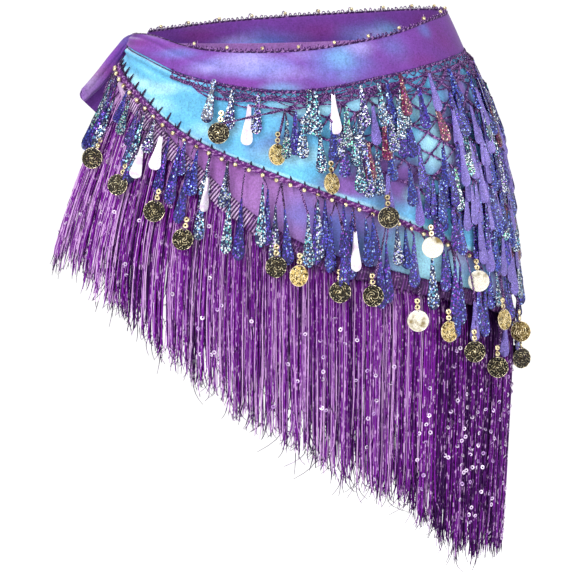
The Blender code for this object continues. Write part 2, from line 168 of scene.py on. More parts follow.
# Dye that has run into each piece in patches, and on the panels some pale patches of painted light: angle,
# height, half the size each way, and strength.
DYES = ("lilac", "rose", "blue", "sky", "pale")
DYE_PATCHES = {
    ("band", "rose"): (
        (-160, -4, 16, 5, 0.6), (-130, -8, 14, 4, 0.5), (-106, -42, 8, 6, 0.45), (-84, -5, 14, 6, 0.5),
        (-46, -20, 12, 9, 0.5), (-28, 0, 12, 16, 0.5), (30, 12, 14, 16, 0.6), (80, 8, 12, 12, 0.6),
        (128, 4, 12, 10, 0.6),
    ),
    ("band", "blue"): (
        (-132, -14, 14, 6, 0.6), (-116, -24, 10, 8, 0.7), (-104, -26, 16, 10, 0.85),
        (-76, -22, 13, 20, 0.75), (-55, -10, 8, 16, 0.45), (-38, 8, 4, 9, 0.6), (4, 5, 12, 16, 0.7),
        (60, 0, 14, 18, 0.8), (98, -4, 14, 14, 0.7),
    ),
    ("band", "sky"): (
        (-94, -45, 8, 7, 0.55), (-75, -18, 6, 12, 0.6), (-74, -34, 5, 8, 0.35), (52, 4, 8, 12, 0.8),
        (104, -8, 6, 8, 0.7),
    ),
    ("band", "pale"): (
        (-118, -27, 8, 7, 0.5), (-106, -22, 13, 13, 0.6), (-93, -30, 11, 9, 0.4), (-88, -14, 7, 10, 0.35),
        (-68, -8, 6, 10, 0.5), (58, 2, 10, 10, 0.7), (112, -4, 10, 8, 0.6),
    ),
    ("upper", "lilac"): (
        (-74, -132, 9, 12, 1.0), (-67, -118, 9, 14, 1.0), (-60, -128, 9, 22, 1.0), (-42, -100, 9, 40, 0.9),
        (-30, -50, 10, 26, 0.85), (-24, -150, 12, 34, 0.8), (-12, -120, 12, 60, 0.85),
        (-2, -90, 12, 60, 0.8), (14, -60, 12, 50, 0.85), (26, -150, 12, 36, 0.85), (52, -90, 12, 40, 0.8),
    ),
    ("upper", "blue"): (
        (-170, -28, 9, 9, 0.4), (-152, -58, 9, 8, 0.3), (-132, -40, 12, 12, 0.15), (-118, -88, 9, 8, 0.25),
        (-96, -96, 10, 16, 0.45), (-66, -70, 12, 30, 0.4), (78, -80, 12, 30, 0.5), (104, -60, 12, 20, 0.4),
    ),
    # Partly painted light: the pale patches along the top edge at the left are a painted highlight on its
    # rolled fold, and those near the point lighten the panel where the net and drops shade it.
    ("upper", "pale"): (
        (-176, -24, 7, 3, 0.9), (-166, -30, 8, 3.5, 1.0), (-156, -36, 8, 4, 1.0), (-150, -66, 7, 6, 0.6),
        (-146, -41, 8, 4.5, 1.0), (-142, -62, 13, 9, 0.95), (-136, -46, 8, 6, 1.0), (-112, -82, 10, 9, 0.7),
        (-88, -106, 12, 10, 0.7), (-84, -62, 16, 9, 0.8), (-64, -58, 12, 12, 0.8), (-55, -142, 4, 8, 1.0),
        (-49, -66, 6, 14, 0.9), (-47, -98, 7, 24, 0.9), (60, -80, 14, 14, 0.7), (118, -50, 14, 10, 0.8),
    ),
    ("lower", "rose"): ((-108, -112, 14, 26, 0.4), (-20, -200, 14, 22, 0.5), (88, -156, 14, 30, 0.5)),
    ("lower", "blue"): (
        (-138, -62, 6, 16, 0.8), (-88, -158, 9, 24, 0.55), (-76, -178, 10, 30, 0.9),
        (52, -200, 12, 30, 0.8), (120, -98, 12, 20, 0.6),
    ),
    ("lower", "sky"): (
        (-66, -188, 8, 26, 0.8), (-60, -196, 9, 26, 0.85), (-50, -218, 10, 26, 0.95),
        (-34, -224, 12, 22, 0.9), (-8, -232, 12, 26, 0.8), (30, -222, 12, 30, 0.8),
    ),
    # Partly painted light: these pale patches lighten the lower panel near the point, where the drops shade
    # it.
    ("lower", "pale"): (
        (-56, -196, 8, 20, 0.95), (-52, -212, 11, 30, 1.0), (-44, -232, 8, 16, 0.9),
        (24, -222, 10, 16, 0.6),
    ),
    ("tail", "rose"): (
        (0, -30, 30, 8, 0.55),
    ),
    ("tail", "blue"): ((0, 1, 30, 8, 0.42), (0, -72, 30, 10, 0.2)),
}

# What hangs in front: its kind, where its lower end is, and how far its top leans aside.
Hanging = namedtuple("Hanging", "kind angle end lean", defaults=(0,))
BAND_HANGINGS = tuple(Hanging(*row) for row in (
    ("silver", -115, -76, 1), ("dark coin", -110.8, -95), ("silver", -108.4, -82), ("mirror", -103, -96),
    ("silver", -100.6, -86), ("gold coin", -94.6, -114), ("silver", -92.2, -108), ("silver", -87.8, -108),
    ("silver", -85.8, -86), ("silver", -82.9, -121, -1), ("gold coin", -80.4, -140), ("blue", -79.4, -112),
    ("mirror", -78.6, -86, -1), ("silver", -75.4, -98), ("blue", -76.6, -125), ("silver", -73.4, -115),
    ("silver", -72.6, -139), ("silver", -70.2, -80, -1), ("red", -69.6, -128, -1), ("violet", -67.2, -96),
    ("silver", -67.3, -142), ("dark coin", -65.6, -171), ("violet", -64.9, -157), ("red", -64.3, -110),
    ("silver", -64.5, -79), ("blue", -63.2, -129), ("silver", -59.6, -91, 1), ("blue", -58, -152),
    ("red", -56.6, -70), ("blue", -56.8, -108), ("violet", -56, -170), ("blue", -54.4, -136),
    ("white coin", -53.3, -199), ("blue", -51, -82), ("blue", -48.8, -168), ("red", -43, -94, -6),
    ("blue", -46, -135), ("violet", -45, -66), ("blue", -43.6, -172), ("blue", -38, -82),
    ("violet", -39, -135), ("violet", -38.2, -149), ("violet", -40, -176, 4), ("violet", -34.6, -195),
    ("violet", -33.6, -129), ("violet", -31.4, -215), ("violet", -30.8, -151), ("violet", -29, -195),
    ("blue", -34, -60), ("blue", -28, -94), ("violet", -26, -120), ("violet", -23, -169),
    ("violet", -17.4, -227), ("silver", -12, -194), ("violet", -9, -216), ("blue", -15, -146),
    ("blue", -18, -84), ("violet", -6, -110), ("violet", -1, -170), ("blue", 2, -130), ("violet", 0, -226),
))
LOWER_HANGINGS = tuple(Hanging(*row) for row in (
    ("blue", -193, -84, 4), ("silver", -186, -74, 2), ("blue", -178, -104, 3), ("silver", -171, -86),
    ("blue", -166, -105, 4), ("silver", -160.5, -101, 4), ("dark coin", -156, -120, 2),
    ("silver", -146.9, -88), ("blue", -141.4, -98), ("dark coin", -139.4, -143, 3),
    ("silver", -137.6, -120, 1), ("mirror", -134.8, -127), ("silver", -132.4, -104),
    ("mirror", -128.6, -119), ("blue", -126.5, -141), ("dark coin", -125.5, -166), ("blue", -122, -150),
    ("blue", -120.9, -124), ("blue", -118.7, -167, 2), ("dark coin", -116.6, -191, 1),
    ("blue", -116.5, -142), ("silver", -112.9, -182, -2), ("mirror", -112.2, -156),
    ("silver", -112.8, -144), ("silver", -107.5, -152), ("silver", -105.9, -194), ("blue", -103, -200),
    ("blue", -96.6, -186), ("silver", -94.6, -203), ("dark coin", -94.2, -215), ("blue", -91.4, -204, -3),
    ("gold coin", -89, -223, 1), ("silver", -86.6, -206), ("silver", -84, -200), ("blue", -81.1, -211, 1),
    ("dark coin", -78.8, -238), ("blue", -77.4, -198), ("blue", -77.7, -226), ("mirror", -74.6, -210),
    ("blue", -71, -206, -2), ("dark coin", -70.4, -242), ("blue", -66.2, -239), ("silver", -62.8, -206),
    ("white coin", -58, -266), ("blue", -58.6, -226, 2), ("silver", -52.8, -247), ("blue", -48.9, -231, -1),
    ("gold coin", -48.2, -277), ("blue", -45.6, -274), ("blue", -43.8, -262), ("dark coin", -39.2, -297),
    ("violet", -38.6, -278), ("white coin", -37.2, -232), ("blue", -33.4, -275), ("blue", -30, -250),
    ("dark coin", -27.8, -314), ("gold coin", -25, -270), ("violet", -22, -296), ("blue", -17, -262),
    ("gold coin", -12, -284), ("blue", -7, -290), ("dark coin", -2, -312), ("violet", 2, -272),
))


def clamped(value):
    """A value that is kept between 0 and 1."""
    return np.clip(value, 0, 1)


def hump(value, middle, spread):
    """1 at a middle, falling off smoothly over a spread to each side."""
    return np.exp(-(((value - middle) / spread) ** 2))


def column(rows, field):
    return np.array([getattr(row, field) for row in rows], float)


def smooth_between(rows, key, at, field):
    """Values of a field at places between rows, on a curve that runs through them."""
    keys, values = column(rows, key), column(rows, field)
    at = np.asarray(at, float)
    last = len(rows) - 1
    low = np.clip(np.searchsorted(keys, at, side="right") - 1, 0, last - 1)
    before, high, after = np.maximum(low - 1, 0), low + 1, np.minimum(low + 2, last)
    span = keys[high] - keys[low]
    t = np.clip((at - keys[low]) / span, 0.0, 1.0)
    p0, p1, p2, p3 = (values[index] for index in (before, low, high, after))
    slope_low = (p2 - p0) * span / np.maximum(keys[high] - keys[before], span)
    slope_high = (p3 - p1) * span / np.maximum(keys[after] - keys[low], span)
    return (
        p1 * (2 * t**3 - 3 * t**2 + 1)
        + slope_low * (t**3 - 2 * t**2 + t)
        + p2 * (3 * t**2 - 2 * t**3)
        + slope_high * (t**3 - t**2)
    )


WRAPPED_STATIONS = tuple(
    row._replace(angle=row.angle + turn) for turn in (-360, 0, 360) for row in STATIONS
)


def cut(field, angle):
    """The height or length of an edge of the cut at an angle round the hips."""
    return smooth_between(WRAPPED_STATIONS, "angle", angle, field)


def band_top(angle):
    return cut("band_top", angle)


def band_bottom(angle):
    return cut("band_top", angle) - cut("band_height", angle)


def band_strip_bottom(angle):
    return band_bottom(angle) - SEAM_GAP - STRIP_HEIGHT


def high_net_strip_bottom(angle):
    return band_strip_bottom(angle) - HIGH_NET_ROW_DROP


def low_net_strip_bottom(angle):
    return band_strip_bottom(angle) - LOW_NET_ROW_DROP


def upper_hem(angle):
    return cut("upper_hem", angle)


def lower_hem(angle):
    return cut("lower_hem", angle)


def panel_top(angle):
    return band_bottom(angle) + TUCK


def below(edge, fall):
    """A line some mm under an edge and its seam."""
    return lambda angle: edge(angle) - SEAM_GAP - fall


def drawn_in(degrees):
    """The angles where the cloth starts and ends, each some degrees nearer to the point."""
    return CLOTH_START + degrees, CLOTH_END - degrees


def fold_depth(angle, height):
    """How far the troughs press the cloth in at a place."""
    depth = np.zeros(np.broadcast(angle, height).shape)
    for trough in TROUGHS:
        across = (angle - trough.angle - trough.slant * (height - trough.height)) / trough.half_angle
        along = (height - trough.height) / trough.half_height
        inside = (np.abs(across) < 1) & (np.abs(along) < 1)
        press = np.cos(across * math.pi / 2) ** 2 * np.cos(along * math.pi / 2) ** 2
        depth = depth + np.where(inside, trough.depth * press, 0.0)
    return depth


def hip_halves(angle, height):
    """Half the width and half the depth of the hip form on the side that an angle is on."""
    turn = np.radians(angle)
    left, right, front, back = (
        smooth_between(HIP_SECTIONS, "height", height, side) for side in ("left", "right", "front", "back")
    )
    return np.where(np.cos(turn) > 0, left, right), np.where(np.sin(turn) > 0, back, front)


def on_hips(angle, height, offset=0.0):
    """(points, outward directions, directions round the hips) at places on the hip form."""
    angle, height, offset = np.broadcast_arrays(*(np.asarray(v, float) for v in (angle, height, offset)))
    turn = np.radians(angle)
    half_width, half_depth = hip_halves(angle, height)
    flat = np.zeros_like(turn)
    outward = np.stack([np.cos(turn) / half_width, np.sin(turn) / half_depth, flat], axis=-1)
    outward /= np.linalg.norm(outward, axis=-1, keepdims=True)
    around = np.stack([-outward[..., 1], outward[..., 0], flat], axis=-1)
    point = np.stack([half_width * np.cos(turn), half_depth * np.sin(turn), height], axis=-1)
    reach = offset - fold_depth(angle, height)
    return point + outward * reach[..., None], outward, around


def place(angle, height, offset):
    return on_hips(angle, height, offset)[0]


def degrees_in(angle, height, distance):
    """The angle that a distance round the hips spans."""
    turn = np.radians(angle)
    half_width, half_depth = hip_halves(angle, height)
    return np.degrees(distance / np.hypot(half_width * np.sin(turn), half_depth * np.cos(turn)))


def edge_run(edge, start, end, count=241):
    """(angles, how far along an edge round the hips each is)."""
    angles = np.linspace(start, end, count)
    steps = np.linalg.norm(np.diff(place(angles, edge(angles), 0), axis=0), axis=1)
    return angles, np.concatenate([[0.0], np.cumsum(steps)])


def evenly_spaced(edge, start, end, count):
    """Angles that divide an edge round the hips into count equal lengths."""
    angles, far = edge_run(edge, start, end)
    return np.interp(np.linspace(0, far[-1], count + 1), far, angles)


def steps_along(edge, start, end, pitch):
    """Angles about pitch mm apart along an edge round the hips."""
    length = edge_run(edge, start, end)[1][-1]
    return evenly_spaced(edge, start, end, max(2, round(length / pitch)))


# Meshes.


def add_attribute(mesh, name, kind, field, values):
    layer = mesh.attributes.new(name, kind, "POINT")
    layer.data.foreach_set(field, np.concatenate(values).reshape(-1).astype(np.float32))


class Gather:
    """Small forms gathered into one mesh, in mm, each with its finish and its shade."""

    def __init__(self):
        self.points, self.faces, self.finishes = [], [], []
        self.shades, self.flats, self.dyes = [], [], []
        self.count = 0

    def add(self, form, finish=0, shade=0.5, flat=None, dyes=None):
        """form is (points, face arrays), and finish a name in FINISHES or the number of a material."""
        points, faces = form
        if finish in FINISHES:
            finish = list(FINISHES).index(finish)
        points = np.asarray(points, float).reshape(-1, 3)
        self.points.append(points)
        total = len(points)
        self.shades.append(np.broadcast_to(np.asarray(shade, float).reshape(-1), (total,)))
        self.flats.append(points * 0 if flat is None else np.asarray(flat, float).reshape(-1, 3))
        self.dyes.append(dyes)
        for corners in faces:
            self.faces.append(np.asarray(corners) + self.count)
            self.finishes.append(np.full(len(corners), finish))
        self.count += total

    def piece(self, name, materials, slot, *nodes, smooth_angle=80):
        """The object, in metres, which rides on the scarf and stands for CAD nodes."""
        mesh = bpy.data.meshes.new(name)
        points = np.concatenate(self.points) * MM
        sizes = np.concatenate([np.full(len(f), f.shape[1]) for f in self.faces])
        corners = np.concatenate([f.reshape(-1) for f in self.faces])
        mesh.vertices.add(len(points))
        mesh.vertices.foreach_set("co", points.reshape(-1).astype(np.float32))
        mesh.loops.add(len(corners))
        mesh.loops.foreach_set("vertex_index", corners.astype(np.int32))
        mesh.polygons.add(len(sizes))
        starts = np.concatenate([[0], np.cumsum(sizes)[:-1]])
        mesh.polygons.foreach_set("loop_start", starts.astype(np.int32))
        mesh.polygons.foreach_set("material_index", np.concatenate(self.finishes).astype(np.int32))
        mesh.update(calc_edges=True)
        if mesh.validate():
            raise RuntimeError(f"{name} has a broken face")
        add_attribute(mesh, "shade", "FLOAT", "value", self.shades)
        add_attribute(mesh, "flat", "FLOAT_VECTOR", "vector", self.flats)
        if any(dyes is not None for dyes in self.dyes):
            for dye in DYES:
                amounts = [dyes[dye] if dyes else np.zeros(len(p)) for dyes, p in zip(self.dyes, self.points)]
                add_attribute(mesh, dye, "FLOAT", "value", amounts)
        mesh.shade_smooth()
        mesh.set_sharp_from_angle(angle=math.radians(smooth_angle))
        for material in materials:
            mesh.materials.append(material)
        piece = bpy.data.objects.new(name, mesh)
        bpy.context.scene.collection.objects.link(piece)
        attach(piece, "root")
        if nodes:
            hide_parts(*nodes)
        return piece


def unit(vectors):
    return vectors / np.maximum(np.linalg.norm(vectors, axis=-1, keepdims=True), 1e-9)


def outwards(paths):
    """The level directions from the middle of the hips to each point."""
    return unit(paths * (1, 1, 0))


def skin(index):
    """Quads over rows of points, each of which closes round."""
    near, far = index[..., :-1, :], index[..., 1:, :]
    quads = np.stack([near, np.roll(near, -1, axis=-1), np.roll(far, -1, axis=-1), far], axis=-1)
    return quads.reshape(-1, 4)


def frames(paths, facing):
    """Two directions square to each path at each of its points, the second near to facing."""
    along = unit(np.gradient(paths, axis=1))
    across = unit(np.cross(along, np.broadcast_to(facing, paths.shape)))
    return across, np.cross(across, along)


def tubes(paths, radii, sides, facing):
    """Capped tubes along n paths of k points. facing is what the first corner turns towards."""
    n, k = paths.shape[:2]
    across, up = frames(paths, facing)
    turns = 2 * math.pi * np.arange(sides) / sides
    rim = np.cos(turns)[:, None] * up[:, :, None, :] + np.sin(turns)[:, None] * across[:, :, None, :]
    radii = np.broadcast_to(radii, (n, k))
    points = paths[:, :, None, :] + radii[:, :, None, None] * rim
    index = np.arange(n * k * sides).reshape(n, k, sides)
    return points.reshape(-1, 3), [skin(index), index[:, 0, ::-1], index[:, -1]]


def travelled(paths):
    """How far along its path each point is, in mm."""
    steps = np.linalg.norm(np.diff(paths, axis=1), axis=2)
    return np.concatenate([np.zeros((len(paths), 1)), np.cumsum(steps, axis=1)], axis=1)


def resampled(path, step):
    """A path with its points about step mm apart."""
    path = np.asarray(path, float)
    far = travelled(path[None])[0]
    at = np.linspace(0, far[-1], max(3, round(far[-1] / step) + 1))
    return np.stack([np.interp(at, far, path[:, axis]) for axis in range(3)], axis=1)


def laid_flat(far, own, sides, turn=1.0):
    """Where the points of tubes lie on them: how far along, how far round, and a number for each tube."""
    flat = np.zeros(far.shape + (sides, 3))
    flat[..., 0] = far[:, :, None]
    flat[..., 1] = turn * np.arange(sides) / sides
    flat[..., 2] = np.reshape(own, (-1, 1, 1))
    return flat


def twisted(gather, paths, facing, radius, pitch, finish=0, shade=0.5, bumps=0.0):
    """Cords of two plies that twist round each path. shade is one number, or one for each path."""
    plies, sides = 2, 4
    n, k = paths.shape[:2]
    across, up = frames(paths, facing)
    far = travelled(paths)
    start = np.arange(n)[:, None] * 1.7
    shades = np.broadcast_to(np.asarray(shade, float).reshape(-1), (n,))
    for ply in range(plies):
        turn = 2 * math.pi * (far / pitch + ply / plies) + start
        aside = np.cos(turn)[..., None] * up + np.sin(turn)[..., None] * across
        thick = radius * 0.62 * (1 + bumps * np.sin(turn * 2.3))
        form = tubes(paths + aside * radius * 0.5, thick, sides, facing)
        flat = laid_flat(far + start * 31 + ply * 1.2, shades * 50 + ply, sides)
        gather.add(form, finish, np.repeat(shades, k * sides), flat)


def round_cord(gather, edge, start, end, offset, radius, pitch, lift=0.0, **more):
    """A twisted cord along an edge round the hips."""
    angles = np.linspace(start, end, 600)
    heights = edge(angles) + lift
    path = resampled(place(angles, heights, offset), pitch / 5)
    twisted(gather, path[None], (0, 0, 1), radius, pitch, **more)


def lathed(profile, segments):
    """A form turned round the z axis from (radius, height) rows, with a point where radius is 0."""
    turns = 2 * math.pi * np.arange(segments) / segments
    points, rings = [], []
    for radius, height in profile:
        count = segments if radius else 1
        rings.append(len(points) + np.arange(segments) % count)
        points += [(radius * math.cos(turn), radius * math.sin(turn), height) for turn in turns[:count]]
    faces = {4: [], 3: []}
    for low, high in zip(rings, rings[1:]):
        for i in range(segments):
            j = (i + 1) % segments
            corners = tuple(dict.fromkeys((low[i], low[j], high[j], high[i])))
            faces[len(corners)].append(corners)
    return np.array(points), [np.array(found) for found in faces.values() if found]


def scatter(form, origins, axes):
    """Copies of a form at n origins. axes (n, 3, 3) holds what its x, y and z turn into."""
    points, faces = form
    origins, axes = np.asarray(origins, float), np.asarray(axes, float)
    placed = origins[:, None, :] + np.einsum("pi,nij->npj", points, axes)
    shift = np.arange(len(origins)) * len(points)
    spread = [(f[None] + shift[:, None, None]).reshape(-1, f.shape[1]) for f in faces]
    return placed.reshape(-1, 3), spread


def joined(*forms):
    """Several forms as one."""
    points, faces, count = [], [], 0
    for form_points, form_faces in forms:
        points.append(form_points)
        faces += [np.asarray(f) + count for f in form_faces]
        count += len(form_points)
    return np.concatenate(points), faces


def moved(form, by):
    return form[0] + np.array(by, float), form[1]


# How wide a drop is down its stem, as (share of the way down, share of its width).
SPOON = (
    (0, 0.16), (0.02, 0.29), (0.12, 0.34), (0.3, 0.41), (0.48, 0.53), (0.66, 0.71), (0.84, 0.88), (0.95, 0.97)
)
TAPER = (
    (0, 0.12), (0.05, 0.17), (0.2, 0.25), (0.35, 0.36), (0.5, 0.49), (0.65, 0.63), (0.82, 0.80), (0.95, 0.95)
)


def teardrop(outline, length, width, thickness):
    """A flat teardrop: x across, y out towards its domed face, z down from its top."""
    end = width / 2
    stem = length - end
    rows = [(stem * down, half * end) for down, half in outline]
    for degrees in (0, 25, 48, 66, 80, 88):
        turn = math.radians(degrees)
        rows.append((stem + end * math.sin(turn), end * math.cos(turn)))
    rings = []
    for drop, half in rows:
        dome = (0, 0.5 * min(1.0, half / 3))
        corners = ((-half, 0), dome, (half, 0), (half, -thickness), (-half, -thickness))
        rings.append([(across, out, drop) for across, out in corners])
    points = np.array(rings).reshape(-1, 3)
    index = np.arange(len(points)).reshape(-1, 5)
    return points, [skin(index)[:, [0, 3, 2, 1]], index[:1], index[-1:, ::-1]]


def net_knots(start, end):
    """A net's knots, keyed by half column and half row, as (angle, height)."""
    knots = {}
    for place_in_row, angle in enumerate(evenly_spaced(band_bottom, start, end, 2 * NET_COLUMNS)):
        top = float(band_strip_bottom(angle)) - SEAM_GAP - NET_STRAND / 2
        rows = int((top - float(cut("net_hem", angle))) / NET_HALF_ROW)
        for row in range(place_in_row % 2, rows + 1, 2):
            knots[place_in_row, row] = (float(angle), top - NET_HALF_ROW * row)
    return knots


def net_cells(knots):
    """The corners of each gap: diamonds hung in rows, halves at the ends, triangles on top."""
    last = 2 * NET_COLUMNS
    diamonds = {}
    for across, row in sorted(knots, key=lambda key: (key[1], key[0])):
        corners = [(across, row), (across - 1, row + 1), (across, row + 2), (across + 1, row + 1)]
        corners = [corner for corner in corners if 0 <= corner[0] <= last]
        sides = [across + side for side in (-1, 1) if 0 <= across + side <= last]
        hung = row == 0 or all((side, row - 1) in diamonds for side in sides)
        if hung and all(corner in knots for corner in corners):
            diamonds[across, row] = corners
    triangles = [
        [(across, 0), (across + 1, 1), (across + 2, 0)]
        for across, row in diamonds
        if row == 0 and (across + 2, 0) in diamonds
    ]
    return triangles + list(diamonds.values())


# Settings.


def linear(red, green, blue):
    """A colour as light, from the 0 to 255 values that a screen shows."""
    shares = [value / 255 for value in (red, green, blue)]
    return tuple(s / 12.92 if s <= 0.04045 else ((s + 0.055) / 1.055) ** 2.4 for s in shares)


def colour(name, description, *shown):
    return FloatVectorProperty(
        name=name, description=description, subtype="COLOR", size=3, min=0, max=1, default=linear(*shown)
    )


def size(name, description, millimetres):
    shown = {"min": 0, "precision": 4, "subtype": "DISTANCE", "unit": "LENGTH"}
    return FloatProperty(name=name, description=description, default=millimetres * MM, **shown)


def amount(name, description, default, **shown):
    return FloatProperty(name=name, description=description, default=default, min=0, **shown)


def number(name, description, default):
    return IntProperty(name=name, description=description, default=default, min=0, max=20000)


class HipScarfCloth(bpy.types.PropertyGroup):
    """The velvet and the dyes that run into it."""

    violet: colour("Violet", "Ground colour of the band and the ties", 126, 70, 168)
    turquoise: colour("Turquoise", "Ground colour of the upper panel", 108, 192, 236)
    mauve: colour("Mauve", "Ground colour of the lower panel", 172, 122, 194)
    sky: colour("Sky", "The palest blue dye", 122, 178, 228)
    blue: colour("Blue", "The blue dye", 112, 122, 204)
    rose: colour("Rose", "The red violet dye", 134, 60, 150)
    lilac: colour("Lilac", "The purple dye on the upper panel", 138, 98, 180)
    pale: colour("Pale", "Where the panels are palest", 170, 228, 248)
    lavender: colour("Lavender", "Where the band is palest", 182, 174, 244)
    nap: amount("Nap", "How strongly the nap mottles the colour", 0.62, max=1)
    crease: size("Crease", "Depth of the soft creases that run from the knot", 0.9)
    rumple: size("Rumple", "Depth of the small uneven folds in the panels", 1.1)
    roll: size("Roll", "Height of the rolled fold at the upper panel's top", 2.0)


class HipScarfCrochet(bpy.types.PropertyGroup):
    """The yarn of the edging, the net and the hems."""

    plum: colour("Plum", "The yarn of the edging and the net", 76, 24, 106)
    plum_light: colour("Plum light", "Where the plum yarn catches the light", 206, 158, 226)
    magenta: colour("Magenta", "The yarn of the hems", 112, 42, 134)
    magenta_light: colour("Magenta light", "Where the hem yarn catches the light", 206, 152, 218)
    edging_radius: size("Edging radius", "Half the thickness of the cord along the top", 1.3)
    net_radius: size("Net radius", "Half the thickness of a chain of the net", 1.25)
    rib_height: size("Rib height", "Height of the ribbed header over the fringe", 12.5)
    rib_pitch: size("Rib pitch", "Distance between the header's ribs", 1.45)
    spike_pitch: size("Spike pitch", "Distance between the stitches that point up the upper panel", 13.0)
    bead: size("Hem bead", "Width of the gold beads along the upper hem", 4.8)


class HipScarfSpangles(bpy.types.PropertyGroup):
    """The drops, coins and beads."""

    drop_length: size("Drop length", "Length of a teardrop spangle", 39.0)
    drop_width: size("Drop width", "Width of a teardrop spangle", 11.6)
    drop_thickness: size("Drop thickness", "Thickness of a teardrop spangle", 0.5)
    cell: size("Cell", "Width of the glittering cells pressed into a spangle", 1.35)
    coin_radius: size("Coin radius", "Half the width of a coin", 9.9)
    coin_thickness: size("Coin thickness", "Thickness of a coin at its rim", 1.2)
    bead_width: size("Bead width", "Width of the gold beads over a coin", 5.7)
    bead_height: size("Bead height", "Height of the gold beads over a coin", 5.6)
    gold: colour("Gold", "The beads and the coins' relief", 236, 220, 178)
    violet: colour("Violet", "The plain violet spangles", 126, 108, 202)


class HipScarfFringe(bpy.types.PropertyGroup):
    """The fringe and the ring sequins on it."""

    dark: colour("Dark", "The threads in shade", 44, 4, 66)
    main: colour("Main", "Most threads", 128, 30, 160)
    light: colour("Light", "Where a thread catches the light", 230, 184, 240)
    front_threads: number("Front threads", "Threads in the front half", 1900)
    back_threads: number("Back threads", "Threads in the back half", 1500)
    thread_radius: size("Thread radius", "Half the thickness of a thread", 0.66)
    sequins: number("Sequins", "Ring sequins on the fringe", 400)
    sequin_radius: size("Sequin radius", "Half the width of a ring sequin", 2.1)


class HipScarfStage(bpy.types.PropertyGroup):
    """The floor, the lights and the camera."""

    floor_height: FloatProperty(
        name="Floor height", description="Height of the floor under the wearer", default=-0.95, unit="LENGTH"
    )
    daylight: amount("Daylight", "Strength of the light all round", 0.55)
    key: amount("Key light", "Power of the main light", 56, unit="POWER")
    fill: amount("Fill light", "Power of the lights at the side and the back", 14, unit="POWER")
    distance: size("Distance", "How far the camera stands from the scarf", 2600)
    view_width: size("View width", "How much the picture takes in from side to side", 553.9)
    elevation: amount("Elevation", "How far the camera looks down", math.radians(5), subtype="ANGLE")


SETTINGS = {
    "scarf_cloth": HipScarfCloth,
    "scarf_crochet": HipScarfCrochet,
    "scarf_spangles": HipScarfSpangles,
    "scarf_fringe": HipScarfFringe,
    "scarf_stage": HipScarfStage,
}


# Materials.


class Wiring:
    """A node tree that is filled in one node at a time."""

    def __init__(self, tree):
        self.tree = tree

    def add(self, kind, inputs=None, **settings):
        node = self.tree.nodes.new(kind)
        for field, value in settings.items():
            setattr(node, field, value)
        for name, value in (inputs or {}).items():
            self.feed(node.inputs[name], value)
        return node

    def feed(self, socket, value):
        if isinstance(value, bpy.types.NodeSocket):
            self.tree.links.new(value, socket)
        elif hasattr(value, "__len__") and len(value) == 3 and socket.type == "RGBA":
            socket.default_value = (*value, 1)
        else:
            socket.default_value = value

    def math(self, operation, *values):
        return self.add("ShaderNodeMath", dict(enumerate(values)), operation=operation).outputs[0]

    def plus(self, first, second):
        return self.math("ADD", first, second)

    def minus(self, first, second):
        return self.math("SUBTRACT", first, second)

    def times(self, first, second):
        return self.math("MULTIPLY", first, second)

    def scaled(self, value, scale, shift):
        return self.math("MULTIPLY_ADD", value, scale, shift)

    def vector(self, operation, *values, output="Vector"):
        return self.add("ShaderNodeVectorMath", dict(enumerate(values)), operation=operation).outputs[output]

    def mix(self, factor, first, second):
        inputs = {0: factor, 6: first, 7: second}
        return self.add("ShaderNodeMix", inputs, data_type="RGBA", clamp_factor=True).outputs[2]

    def ramp(self, value, low, high):
        """0 below low, 1 above high, and smooth between."""
        inputs = {"Value": value, "From Min": low, "From Max": high}
        return self.add("ShaderNodeMapRange", inputs, interpolation_type="SMOOTHSTEP").outputs[0]

    def noise(self, vector, scale, detail=2.0, roughness=0.5):
        inputs = {"Vector": vector, "Scale": scale, "Detail": detail, "Roughness": roughness}
        return self.add("ShaderNodeTexNoise", inputs).outputs[0]

    def tinted(self, colour, **shifts):
        return self.add("ShaderNodeHueSaturation", {**shifts, "Color": colour}).outputs[0]

    def attribute(self, name, output="Fac"):
        return self.add("ShaderNodeAttribute", attribute_name=name).outputs[output]

    def bump(self, height, strength, distance):
        inputs = {"Height": height, "Strength": strength, "Distance": distance}
        return self.add("ShaderNodeBump", inputs).outputs[0]


def new_group(name, colours, numbers):
    """(wiring, input sockets) of a shader node group with named inputs."""
    tree = bpy.data.node_groups.new(name, "ShaderNodeTree")
    for label in colours:
        tree.interface.new_socket(label, in_out="INPUT", socket_type="NodeSocketColor")
    for label, value in numbers.items():
        socket = tree.interface.new_socket(label, in_out="INPUT", socket_type="NodeSocketFloat")
        socket.default_value = value
    wiring = Wiring(tree)
    return wiring, wiring.add("NodeGroupInput").outputs


OUTPUTS = {"Color": "NodeSocketColor", "Roughness": "NodeSocketFloat", "Normal": "NodeSocketVector"}


def put_out(wiring, **values):
    """A finished group's tree, with its named outputs."""
    for label in values:
        wiring.tree.interface.new_socket(label, in_out="OUTPUT", socket_type=OUTPUTS[label])
    wiring.add("NodeGroupOutput", values)
    return wiring.tree


# Each node group and material is made the first time that it is asked for, and kept.


